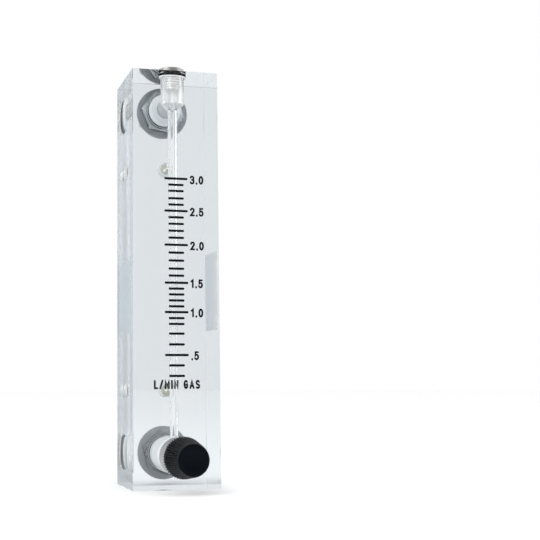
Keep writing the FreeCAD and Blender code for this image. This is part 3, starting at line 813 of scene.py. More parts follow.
@dataclass
class Finishes:
    """Every material of the object, made once.

    Attributes:
        groups: The shared node groups.
        low: Lowest corner of the block, in metres.
        high: Highest corner of the block, in metres.
        made: Finish to material.
    """

    groups: SharedGroups
    low: np.ndarray
    high: np.ndarray
    made: dict = field(default_factory=dict)

    def __post_init__(self) -> None:
        """Makes the materials."""
        fine, stamped, plain = (0.24, 0.36), (0.4, 0.55), 0.05
        half, centre = (self.high - self.low) / 2, (self.high + self.low) / 2
        kinds = {
            Finish.ACRYLIC: Acrylic(tuple(half), tuple(centre)),
            # One steel for both fittings, darker on the low one as painted shade and lighter on the
            # high one as painted light.
            Finish.FITTING_LOW_PAINTED_SHADE: TurnedMetal((0.236, 0.241, 0.246, 1.0), fine, LOWER_PORT),
            Finish.FITTING_HIGH_PAINTED_LIGHT: TurnedMetal((0.49, 0.50, 0.51, 1.0), fine, UPPER_PORT),
            # One steel for both washers, lighter on the low one as painted light and darker on the
            # high one as painted shade.
            Finish.WASHER_LOW_PAINTED_LIGHT: TurnedMetal((0.38, 0.38, 0.385, 1.0), stamped, LOWER_PORT, plain),
            Finish.WASHER_HIGH_PAINTED_SHADE: TurnedMetal((0.325, 0.325, 0.335, 1.0), stamped, UPPER_PORT, plain),
            Finish.VALVE: TurnedMetal((0.80, 0.81, 0.82, 1.0), (0.5, 0.62), LOWER_PORT, plain),
            Finish.PLUG: TurnedMetal((0.58, 0.58, 0.57, 1.0), (0.38, 0.5)),
            Finish.BALL: TurnedMetal((0.66, 0.66, 0.66, 1.0), (0.05, 0.09), marks=0.0),
            Finish.BRASS: TurnedMetal((0.61, 0.575, 0.45, 1.0), (0.3, 0.45)),
            Finish.KNOB: Moulded((0.0028, 0.0040, 0.0060, 1.0), (0.30, 0.40), 0.045),
            Finish.RUBBER: Moulded((0.004, 0.005, 0.005, 1.0), (0.45, 0.6), 0.2),
            # Near-black finish of the turns of thread next to the back face, darker than the steel
            # beside them.
            Finish.SEALANT: Moulded((0.008, 0.010, 0.014, 1.0), (0.5, 0.62), 0.15),
            Finish.STOP: Moulded((0.85, 0.85, 0.83, 1.0), (0.35, 0.5)),
            Finish.INK: Moulded((0.003, 0.004, 0.006, 1.0), (0.5, 0.65), 0.1, 0.05),
            Finish.FILM: PaleFilm(),
        }
        self.made = {finish: kind.make(finish.value, self.groups) for finish, kind in kinds.items()}

    def dress(self, piece: Object, finish: Finish) -> None:
        """Gives a piece one of the materials."""
        piece.data.materials.clear()
        piece.data.materials.append(self.made[finish])

    def show(
        self, piece: Object, finish: Finish, body: Body, node: str = "",
    ) -> None:
        """Gives a piece its finish, hangs it on its body and hides the CAD node that it stands for.

        Args:
            piece: The piece.
            finish: Its finish.
            body: The rigid body that it rides on.
            node: The CAD node that it stands for, if any.
        """
        self.dress(piece, finish)
        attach(piece, body.value)
        if node:
            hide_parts(node)


# Sub-assemblies


class ShownPiece:
    """A sub-assembly that shows as one piece; its kinds say finish, slot and node."""

    finish: Finish
    slot: str
    node: str
    body = Body.METER

    def dress(self, piece: Object, finishes: Finishes) -> None:
        """Gives the piece its finish, body and node."""
        finishes.show(piece, self.finish, self.body, self.node)


@dataclass
class AcrylicBlock(ShownPiece):
    """The block with its drilled and tapped bores.

    Attributes:
        width: Size along X.
        height: Size along Z.
        edge: Chamfer of the outer edges.
        sharp: Angle in degrees over which an edge is sharp.
        columns: Steps around each bore.
        over: Length by which a cutter stands out of the block.
        bore_radii: Radius of the float bore at its low and its high end.
        bore_rise: Heights of those ends.
        chamber: Radius of the chamber above the float bore.
        chamber_rise: Heights of the chamber's ends.
        plug_thread: Radius of the plug's thread in the block, and its depth.
        plug_foot: Height of the plug's seal recess.
        plug_recess: Radius of that recess.
        pitch: Pitch of the threads.
        port_thread: Radius of a port's thread, and its depth.
        port_floor: Depth of a port.
        port_recess: Radius of the recess for a fitting's seal.
        recess: Depth of that recess.
        drill_point: Length of the cone between a port and its passage.
        passage: Radius of the passages.
        valve: Radius of the valve's bore.
        valve_end: Place of its inner end along Y.
        insert: Radius of the insert holes.
        insert_depths: Depths of an insert hole's wall and point.
    """

    finish, slot, node = Finish.ACRYLIC, "acrylic", "body_block"
    width: float = 34.925
    height: float = 165.1
    edge: float = 0.14
    sharp: float = 12
    columns: int = 112
    over: float = 1.0
    bore_radii: tuple = (1.6, 2.03)
    bore_rise: tuple = (20.3, 150.043)
    chamber: float = 4.75
    chamber_rise: tuple = (152.5, 158.04)
    plug_thread: tuple = (4.85, 0.08)
    plug_foot: float = 163.29
    plug_recess: float = 5.51
    pitch: float = 0.9
    port_thread: tuple = (6.65, 0.3)
    port_floor: float = 5.0
    port_recess: float = 7.16
    recess: float = 1.06
    drill_point: float = 1.893
    passage: float = 3.5
    valve: float = 7.25
    valve_end: float = 5.025
    insert: float = 2.73
    insert_depths: tuple = (7.15, 8.79)

    def tapped(self, thread: tuple, start: float, stop: float) -> list:
        """Lists the profile of a tapped wall: rings of its pitch, then its root.

        Args:
            thread: Radius at the thread's root in the wall, and its depth.
            start: First height.
            stop: Last height.

        Returns:
            Radius and height pairs.
        """
        root, depth = thread
        rings = max(int(abs(stop - start) / self.pitch), 1)
        crest, flank = root - depth, root - depth * 0.1
        radius = np.tile([crest, flank, flank, crest], rings)
        share = np.repeat(np.arange(rings), 4) + np.tile([0.06, 0.44, 0.56, 0.94], rings)
        return [*zip(radius, start + share * (stop - start) / rings), (root, stop)]

    def cutter(self, name: str, profile: list, facing: Facing, base: tuple) -> Object:
        """Makes a closed solid of revolution to cut with.

        Args:
            name: Name of the object.
            profile: Radius and height pairs from the low end to the high end, off the axis.
            facing: Where its axis points.
            base: Place of its local origin.

        Returns:
            The cutter.
        """
        rows = lathe(np.array(profile, float), self.columns)
        points, faces = merge_grids([Grid(facing_points(rows, facing, base))])
        low = list(range(self.columns))[::-1]
        high = list(range(len(points) - self.columns, len(points)))
        return make_piece(name, points, faces + [low, high])

    def cutters(self) -> list:
        """Makes the solids of every bore.

        Returns:
            The cutters, in the order they cut.
        """
        out = BACK_FACE + self.over
        floor, recess = BACK_FACE - self.port_floor, BACK_FACE - self.recess
        cone = floor - self.drill_point
        chamber_low, chamber_high = self.chamber_rise
        tube = [
            (self.bore_radii[0], LOWER_PORT),
            *zip(np.linspace(*self.bore_radii, 40), np.linspace(*self.bore_rise, 40)),
            (self.chamber, chamber_low), (self.chamber, chamber_high),
            *self.tapped(self.plug_thread, chamber_high, self.plug_foot),
            (self.plug_recess, self.plug_foot), (self.plug_recess, self.height + self.over),
        ]
        port = [
            (self.passage, cone), (self.port_thread[0], floor),
            *self.tapped(self.port_thread, floor, recess),
            (self.port_recess, recess), (self.port_recess, out),
        ]
        lower = [
            (self.valve, FRONT_FACE - self.over), (self.valve, self.valve_end),
            (self.passage, self.valve_end), *port,
        ]
        upper = [(self.passage, BORE_LINE), *port]
        hole, point = self.insert_depths
        insert = [
            (OFF_AXIS, BACK_FACE - point), (self.insert, BACK_FACE - hole), (self.insert, out),
        ]
        made = [
            self.cutter("cut_tube", tube, Facing.UP, (0, BORE_LINE, 0)),
            self.cutter("cut_lower", lower, Facing.BACK, (0, 0, LOWER_PORT)),
            self.cutter("cut_upper", upper, Facing.BACK, (0, 0, UPPER_PORT)),
        ]
        for number, height in enumerate(INSERTS):
            made.append(self.cutter(f"cut_insert_{number}", insert, Facing.BACK, (0, 0, height)))
        return made

    def build(self) -> Object:
        """Cuts the bores from the block and keeps the result as a plain mesh.

        Returns:
            The block.
        """
        low = (-self.width / 2, FRONT_FACE, 0)
        block = make_box("block_blank", low, (self.width / 2, BACK_FACE, self.height))
        bevel = block.modifiers.new("edges", "BEVEL")
        bevel.width = self.edge * MM
        bevel.segments = 2
        cutters = self.cutters()
        for tool in cutters:
            cut = block.modifiers.new(tool.name, "BOOLEAN")
            cut.operation, cut.solver, cut.object = "DIFFERENCE", "EXACT", tool
        graph = bpy.context.evaluated_depsgraph_get()
        mesh = bpy.data.meshes.new_from_object(block.evaluated_get(graph))
        for extra in [block, *cutters]:
            bpy.data.objects.remove(extra)
        mesh.name = "acrylic_block"
        return add_piece("acrylic_block", mesh, self.sharp)


@dataclass
class PipeFitting:
    """A fitting with its hexagonal shoulder, a near-black ring of thread turns in the block, washer
    and nut.

    Heights run from the block's back face outwards.

    Attributes:
        name: Start of the piece names.
        height: Height of its axis.
        turn: Turn of the shoulder's hexagon, in degrees.
        metal: Finish of the fitting and its nut: one steel, darker on the low fitting as painted
            shade and lighter on the high one as painted light.
        washer_metal: Finish of the washer: one steel, lighter on the low washer as painted light
            and darker on the high one as painted shade.
        shoulder_flats: Width of the shoulder over its flats.
        shoulder: Top of the shoulder.
        nut_flats: Width of the nut over its flats.
        nut: Thickness of the nut.
        tail_radius: Radius of the panel thread.
        tail: Length of the panel thread.
        tail_thread: Depth and pitch of the panel thread.
        washer_radius: Radius of the washer.
        washer: Thickness of the washer.
        pipe: Radius of the through bore.
        socket: Radius of the tapped pipe socket.
        socket_depth: Depth of that socket.
        socket_thread: Depth and pitch of its thread, the depth being below 0 as it grows.
        mouth: Radius of the socket's mouth.
        spigot: Radius and low end of the part in the block.
        neck: Radius and low end of the part under the shoulder.
        near_black_radius: Radius of the near-black turns of thread, a hair inside the acrylic.
        near_black_rise: Heights of their ends.
        near_black_wave: Depth and pitch of their thread.
        near_black_core: Radius of their closed inner side.
        chamfer: Angle of the hexagons' corners, in degrees.
        columns: Steps around the round parts.
        hexagon_columns: Steps around the hexagons.
    """

    name: str
    height: float
    turn: float
    metal: Finish
    washer_metal: Finish
    shoulder_flats: float = 16.0
    shoulder: float = 2.0
    nut_flats: float = 17.5
    nut: float = 4.2
    tail_radius: float = 6.35
    tail: float = 10.6
    tail_thread: tuple = (0.42, 1.0)
    washer_radius: float = 10.7
    washer: float = 1.2
    pipe: float = 3.2
    socket: float = 4.325
    socket_depth: float = 9.0
    socket_thread: tuple = (-0.32, 0.94)
    mouth: float = 4.75
    spigot: tuple = (6.0, -4.6)
    neck: tuple = (6.1, -1.42)
    near_black_radius: float = 6.74
    near_black_rise: tuple = (-2.2, -1.1)
    near_black_wave: tuple = (0.02, 0.9)
    near_black_core: float = 5.9
    chamfer: float = 30.0
    columns: int = 132
    hexagon_columns: int = 216

    def placed(self, points: np.ndarray) -> Grid:
        """Puts local points on the block's back face as a closed ring."""
        base = (0, BACK_FACE, self.height)
        return Grid(facing_points(points, Facing.BACK, base), closed_rows=True)

    def hexagon(self, flats: float, bore: float, low: float, high: float, turn: float) -> Grid:
        """Makes a hexagonal ring whose corners are turned down at both faces.

        At angle t the side lies at r = (flats / 2) / cos(d), with d the angle from the middle
        of the nearest flat, and the chamfer starts (r - flats / 2) tan 30 from the face.

        Args:
            flats: Width over the flats.
            bore: Radius of the hole.
            low: Height of the low face.
            high: Height of the high face.
            turn: Turn about the axis, in degrees.

        Returns:
            The ring's surface.
        """
        land, relief = 0.05, 0.12
        angle = full_turn(self.hexagon_columns)
        side = flats / 2 / np.cos(off_middle(angle, 6))
        drop = (side - flats / 2) * math.tan(math.radians(self.chamfer)) + land
        flat, near = np.full_like(angle, flats / 2 - relief), np.full_like(angle, bore)
        bottom, top = np.full_like(angle, low), np.full_like(angle, high)
        radius = np.stack([near, flat, side, side, flat, near])
        height = np.stack([bottom, bottom, low + drop, high - drop, top, top])
        return self.placed(around(radius, height, angle + math.radians(turn)))

    def threaded(self, rows: list) -> Grid:
        """Turns a profile whose points may carry a screw thread.

        Args:
            rows: Radius, height, thread depth and pitch of each profile point.

        Returns:
            The closed surface.
        """
        turn = full_turn(self.columns)
        radius, height, depth, pitch = np.array(rows, float).T[:, :, None]
        return self.placed(around(radius - depth * thread_wave(height, turn, pitch), height, turn))

    def profile(self) -> list:
        """Lists the fitting's profile: spigot, neck, tail thread and pipe bore.

        Returns:
            Radius, height, thread depth and pitch of each point.
        """
        end = self.shoulder + self.tail
        floor = end - self.socket_depth
        tail = np.linspace(self.shoulder + 0.3, end - 0.35, 105)
        socket = np.linspace(end - 0.4, floor + 1.2, 85)
        return [
            (self.pipe, self.spigot[1], 0, 1), (*self.spigot, 0, 1), (*self.neck, 0, 1),
            (self.neck[0], self.shoulder / 2, 0, 1), (self.neck[0], self.shoulder + 0.25, 0, 1),
            *((self.tail_radius, z, *self.tail_thread) for z in tail),
            (self.tail_radius - 0.4, end, 0, 1), (self.mouth, end, 0, 1),
            *((self.socket, z, *self.socket_thread) for z in socket),
            (self.socket, floor, 0, 1), (self.pipe, floor - 0.7, 0, 1),
        ]

    def near_black_turns(self) -> list:
        """Lists the profile of the near-black turns of thread next to the back face.

        Returns:
            Radius, height, thread depth and pitch of each point.
        """
        low, high = self.near_black_rise
        return [
            (self.near_black_core, low - 0.05, 0, 1),
            *((self.near_black_radius, z, *self.near_black_wave) for z in np.linspace(low, high, 25)),
            (self.near_black_core, high + 0.05, 0, 1),
        ]

    def build(self) -> dict:
        """Makes the fitting, its near-black turns of thread, its washer and its nut.

        Returns:
            Piece name to piece; all but the thread are named after their CAD node.
        """
        low = self.shoulder + self.washer
        clear, inner = 0.03, 5.0
        shoulder = self.hexagon(self.shoulder_flats, inner, clear, self.shoulder, self.turn)
        nut = self.hexagon(self.nut_flats, self.tail_radius + 0.05, low, low + self.nut, 0.0)
        ring = ring_profile(self.tail_radius + 0.3, self.washer_radius, self.shoulder, low, 0.2)
        grids = {
            "fitting": [self.threaded(self.profile()), shoulder],
            "nut": [nut],
            "washer": [self.placed(lathe(ring, self.columns))],
            "thread": [self.threaded(self.near_black_turns())],
        }
        return {
            f"{self.name}_{key}": make_piece(f"{self.name}_{key}_shown", *merge_grids(parts))
            for key, parts in grids.items()
        }

    def dress(self, pieces: dict, finishes: Finishes) -> None:
        """Gives each piece its finish, body and node.

        Args:
            pieces: Piece name to piece.
            finishes: The materials.
        """
        for node, piece in pieces.items():
            # The turns of thread next to the back face are near-black.
            if node.endswith("thread"):
                finishes.show(piece, Finish.SEALANT, Body.METER)
            elif node.endswith("washer"):
                finishes.show(piece, self.washer_metal, Body.METER, node)
            else:
                finishes.show(piece, self.metal, Body.METER, node)


@dataclass
class SqueezedSeal(ShownPiece):
    """A ring seal as it sits once tightened: flattened against the wall of its recess.

    Attributes:
        node: CAD node that it stands for.
        facing: Where its axis points.
        base: Origin of its heights.
        bore: Inner radius.
        outer: Outer radius, a hair inside the acrylic.
        low: Low end.
        high: High end.
        soft: Size of its rounded corners.
        columns: Steps around it.
    """

    finish, slot = Finish.RUBBER, "seal_rubber"
    node: str
    facing: Facing
    base: tuple
    bore: float = 6.12
    outer: float = 7.18
    low: float = -1.0
    high: float = -0.02
    soft: float = 0.05
    columns: int = 112

    def build(self) -> Object:
        """Makes the seal.

        Returns:
            The seal.
        """
        ring = ring_profile(self.bore, self.outer, self.low, self.high, self.soft)
        rows = facing_points(lathe(ring, self.columns), self.facing, self.base)
        grid = Grid(rows, closed_rows=True)
        return make_piece(f"{self.node}_shown", *merge_grids([grid]), sharp=60)


@dataclass
class FlutedKnob(ShownPiece):
    """The black knob: a fluted cone, hollow behind and dished in front.

    Attributes:
        base: Place of the rear rim's centre.
        flutes: Number of flutes.
        per_flute: Steps around each flute.
        rear_radius: Radius of the rear rim.
        front_radius: Radius that the cone ends with.
        length: Length over all.
        rim: Width of the rear rim before the cone starts.
        hollow_radius: Radius of the hollow behind.
        hollow: Depth of the hollow.
        socket_radius: Radius of the stem's socket.
        socket: Depth of the socket behind the hollow.
        round_radius: Radius of the front edge.
        dish_radius: Radius of the dish in front.
        dish: Depth of the dish.
        cutter: Radius of the flutes' cutter at the rear and at the front.
        cut: Depth of the flutes at the rear and at the front.
    """

    finish, slot, node, body = Finish.KNOB, "knob_plastic", "control_knob", Body.VALVE
    base: tuple = (0.0, -24.575, LOWER_PORT)
    flutes: int = 48
    per_flute: int = 14
    rear_radius: float = 8.05
    front_radius: float = 6.1
    length: float = 15.6
    rim: float = 0.8
    hollow_radius: float = 6.2
    hollow: float = 7.6
    socket_radius: float = 2.43
    socket: float = 5.4
    round_radius: float = 0.8
    dish_radius: float = 4.3
    dish: float = 0.4
    cutter: tuple = (0.5, 0.38)
    cut: tuple = (0.5, 0.34)

    def outer_rows(self) -> np.ndarray:
        """Lists the outside of the profile, from the rear rim to the middle of the front.

        Returns:
            Array of radius and height.
        """
        shoulder = self.length - self.round_radius
        cone = np.linspace(self.rim, shoulder, 40)
        slope = (self.rear_radius - self.front_radius) / (self.length - self.rim)
        side = np.stack([self.rear_radius - slope * (cone - self.rim), cone], -1)
        bend = np.linspace(0, np.pi / 2, 9)[1:]
        centre = self.front_radius + slope * self.round_radius - self.round_radius
        turn = self.round_radius * np.stack([np.cos(bend), np.sin(bend)], -1)
        inner = np.linspace(self.dish_radius, OFF_AXIS, 12)
        sunk = self.dish * (1 - (inner / self.dish_radius) ** 2)
        face = np.stack([inner, self.length - sunk], -1)
        rear = np.array([(self.rear_radius, 0.0), (self.rear_radius, self.rim * 0.5)])
        return np.concatenate([rear, side, (centre, shoulder) + turn, face])

    def inner_rows(self) -> np.ndarray:
        """Lists the inside of the profile, from the socket's floor to the rear rim."""
        floor = self.hollow + self.socket
        return np.array([
            (OFF_AXIS, floor), (self.socket_radius, floor), (self.socket_radius, self.hollow),
            (self.hollow_radius, self.hollow), (self.hollow_radius, 0.0),
        ])

    def build(self) -> Object:
        """Makes the knob.

        A flute is the near side of a round cutter along the cone.  With c the distance of
        the cutter's centre, q its radius and d the angle from the flute's middle, the wall
        lies at the smaller of the turned radius and c cos d - sqrt(q^2 - c^2 sin^2 d).

        Returns:
            The knob.
        """
        inner = self.inner_rows()
        rows = np.concatenate([inner, self.outer_rows()])
        turn = full_turn(self.flutes * self.per_flute)
        off = off_middle(turn, self.flutes)
        share = np.clip((rows[:, 1:] + self.rim) / (self.length + 2 * self.rim), 0, 1)
        line, cutter, cut = (
            rear + (front - rear) * share
            for rear, front in ((self.rear_radius, self.front_radius), self.cutter, self.cut)
        )
        centre = line + cutter - cut
        inside = cutter ** 2 - (centre * np.sin(off)) ** 2
        wall = centre * np.cos(off) - np.sqrt(np.maximum(inside, 0))
        is_cut = (inside > 0) & (np.arange(len(rows)) >= len(inner))[:, None]
        radius = np.where(is_cut, np.minimum(rows[:, :1], wall), rows[:, :1])
        points = facing_points(around(radius, rows[:, 1:], turn), Facing.FRONT, self.base)
        return make_piece("knob_shown", *merge_grids([Grid(points)]), sharp=50)


@dataclass
class FloatBall(ShownPiece):
    """The ball in the tapered bore.

    Attributes:
        radius: Its radius.
        centre: Its place at rest.
        rows: Rings of latitude.
        columns: Steps around it.
    """

    finish, slot, node, body = Finish.BALL, "ball_steel", "float_ball", Body.FLOAT
    radius: float = 1.5
    centre: tuple = (0.0, BORE_LINE, 18.43)
    rows: int = 49
    columns: int = 64

    def build(self) -> Object:
        """Makes the ball from rings of latitude.

        Returns:
            The ball.
        """
        pole = np.pi / 2 - 0.01
        angle = np.linspace(-pole, pole, self.rows)
        profile = self.radius * np.stack([np.cos(angle), np.sin(angle)], -1)
        points = facing_points(lathe(profile, self.columns), Facing.UP, self.centre)
        return make_piece("ball_shown", *merge_grids([Grid(points)]))


def arc(centre: tuple, half: tuple, start: float, stop: float, steps: int = 18) -> list:
    """Points of an elliptical arc.

    Args:
        centre: Centre across and upward.
        half: Half width and half height.
        start: First angle in degrees.
        stop: Last angle in degrees.
        steps: Number of points.

    Returns:
        The points, from start to stop.
    """
    turn = np.radians(np.linspace(start, stop, steps))
    return (centre + np.array(half) * np.stack([np.cos(turn), np.sin(turn)], -1)).tolist()


# Letter to its width and strokes, in shares of the letter height
GLYPHS = {
    "0": (0.37, [arc((0.185, 0.405), (0.185, 0.405), 90, 450, 40)]),
    "1": (0.22, [[(0.0, 0.66), (0.17, 0.81), (0.17, 0.0)]]),
    "2": (0.37, [arc((0.18, 0.61), (0.18, 0.20), 170, -25) + [(0.01, 0.01), (0.37, 0.01)]]),
    "3": (0.37, [
        arc((0.175, 0.61), (0.175, 0.20), 160, -75) + arc((0.175, 0.205), (0.195, 0.215), 78, -160),
    ]),
    "5": (0.37, [
        [(0.34, 0.81), (0.05, 0.81), (0.025, 0.43)] + arc((0.17, 0.26), (0.195, 0.26), 125, -150),
    ]),
    ".": (0.06, [[(0.03, -0.03), (0.03, 0.03)]]),
    "L": (0.32, [[(0.0, 0.81), (0.0, 0.0), (0.32, 0.0)]]),
    "/": (0.28, [[(0.0, -0.04), (0.28, 0.85)]]),
    "M": (0.46, [[(0.0, 0.0), (0.0, 0.81), (0.23, 0.22), (0.46, 0.81), (0.46, 0.0)]]),
    "I": (0.0, [[(0.0, 0.0), (0.0, 0.81)]]),
    "N": (0.36, [[(0.0, 0.0), (0.0, 0.81), (0.36, 0.0), (0.36, 0.81)]]),
    "G": (0.38, [arc((0.19, 0.405), (0.19, 0.405), 50, 360, 34) + [(0.38, 0.37), (0.22, 0.37)]]),
    "A": (0.42, [[(0.0, 0.0), (0.21, 0.81), (0.42, 0.0)], [(0.08, 0.24), (0.34, 0.24)]]),
    "S": (0.36, [
        arc((0.18, 0.60), (0.17, 0.21), 35, 265) + arc((0.18, 0.20), (0.18, 0.20), 85, -145),
    ]),
}


@dataclass
class PrintedScale(ShownPiece):
    """The printed scale: marks, numbers and the unit, as thin ink on the front face.

    Attributes:
        numbered: Label to height, for the long marks with a number.
        plain: Heights of the short marks.
        unit: Words under the scale.
        proud: Distance of the ink from the face.
        halves: Half length of the long and of the short marks.
        mark: Thickness of the marks.
        letter: Unit of the letter heights.
        pen: Thickness of the letters.
        space: Width of a space, as a share of the letter unit.
        number_gap: Room between the digits, as such a share.
        unit_gap: Room between the letters of the unit, as such a share.
        number_x: Left end of the numbers.
        number_drop: Drop of the numbers under their marks.
        unit_x: Left and right end of the unit.
        unit_z: Foot of the unit.
        cap: Points around the round end of a stroke.
    """

    finish, slot, node = Finish.INK, "acrylic", ""
    numbered: dict
    plain: tuple
    unit: str = "L/MIN GAS"
    proud: float = 0.012
    halves: tuple = (4.8, 3.2)
    mark: float = 0.93
    letter: float = 3.4
    pen: float = 0.74
    space: float = 0.5
    number_gap: float = 0.10
    unit_gap: float = 0.17
    number_x: float = 5.65
    number_drop: float = 0.3
    unit_x: tuple = (-9.2, 9.2)
    unit_z: float = 38.45
    cap: int = 9

    def ribbon(self, line: np.ndarray, width: float) -> tuple:
        """Makes a flat band with round ends along a line in the XZ plane.

        Each point moves sideways by half the width over the cosine of half the bend there,
        which keeps the band's width through its corners.

        Args:
            line: Array of points by 2.
            width: Width of the band.

        Returns:
            Points by 2 and faces.
        """
        least_cosine = 0.45
        step = np.diff(line, axis=0)
        step /= np.linalg.norm(step, axis=1, keepdims=True)
        before, after = np.vstack([step[:1], step]), np.vstack([step, step[-1:]])
        along = before + after
        along /= np.linalg.norm(along, axis=1, keepdims=True)
        side = np.stack([-along[:, 1], along[:, 0]], -1)
        reach = width / 2 / np.maximum((along * after).sum(1, keepdims=True), least_cosine)
        points = [line + side * reach, line - side * reach]
        count = len(line)
        index = np.arange(count - 1)
        faces = np.stack([index + count, index + count + 1, index + 1, index], -1).tolist()
        start = 2 * count
        for end, ahead in ((line[0], -step[0]), (line[-1], step[-1])):
            turn = math.atan2(ahead[1], ahead[0]) + np.linspace(-np.pi / 2, np.pi / 2, self.cap)
            points.append(end + width / 2 * np.stack([np.cos(turn), np.sin(turn)], -1))
            faces.append(list(range(start, start + self.cap)))
            start += self.cap
        return np.concatenate(points), faces

    def word(self, text: str, gap: float) -> tuple:
        """Sets a word in strokes from x = 0.

        Args:
            text: The word.
            gap: Room between letters, as a share of the letter unit.

        Returns:
            Lines by 2, and the word's width.
        """
        lines, place = [], 0.0
        pen = self.pen / self.letter
        for letter in text:
            if letter == " ":
                place += self.space
                continue
            width, strokes = GLYPHS[letter]
            for stroke in strokes:
                line = np.array(stroke, float) + (place + pen / 2, pen / 2)
                lines.append(line * self.letter)
            place += width + pen + gap
        return lines, (place - gap) * self.letter

    def strokes(self) -> list:
        """Lists every line of ink with its width.

        Returns:
            Pairs of a line and a width.
        """
        made = []
        for half, heights in zip(self.halves, (self.numbered.values(), self.plain)):
            reach = half - self.mark / 2
            made += [(np.array([(-reach, z), (reach, z)]), self.mark) for z in heights]
        for label, z in self.numbered.items():
            foot = (self.number_x, z - self.number_drop - self.letter / 2)
            made += [(line + foot, self.pen) for line in self.word(label, self.number_gap)[0]]
        lines, width = self.word(self.unit, self.unit_gap)
        left, right = self.unit_x
        stretch = ((right - left) / width, 1)
        return made + [(line * stretch + (left, self.unit_z), self.pen) for line in lines]

    def build(self) -> Object:
        """Makes the ink as one thin piece in front of the face.

        Returns:
            The ink.
        """
        points, faces, start = [], [], 0
        for line, width in self.strokes():
            flat, ribs = self.ribbon(line, width)
            points.append(flat)
            faces += [[index + start for index in rib] for rib in ribs]
            start += len(flat)
        flat = np.concatenate(points)
        plane = np.full(len(flat), FRONT_FACE - self.proud)
        return make_piece("scale_print", np.stack([flat[:, 0], plane, flat[:, 1]], -1), faces)


@dataclass
class SideFilm(ShownPiece):
    """A bare film on the right side face, seen through the block.

    Attributes:
        low: Its lowest corner, a hair inside the acrylic.
        high: Its highest corner.
    """

    finish, slot, node = Finish.FILM, "acrylic", ""
    low: tuple = (17.4325, -12.8, 61.8)
    high: tuple = (17.5225, 15.0, 93.2)

    def build(self) -> Object:
        """Makes the film as a thin slab."""
        return make_box("side_film", self.low, self.high)


@dataclass
class KeptNodes:
    """The CAD nodes that are shown as they are.

    Attributes:
        finishes_by_node: CAD node name to finish.
    """

    finishes_by_node: dict

    def dress(self, nodes: dict, finishes: Finishes) -> None:
        """Gives each node its finish.

        Args:
            nodes: CAD node name to object.
            finishes: The materials.
        """
        for node, finish in self.finishes_by_node.items():
            finishes.dress(nodes[node], finish)


# Studio


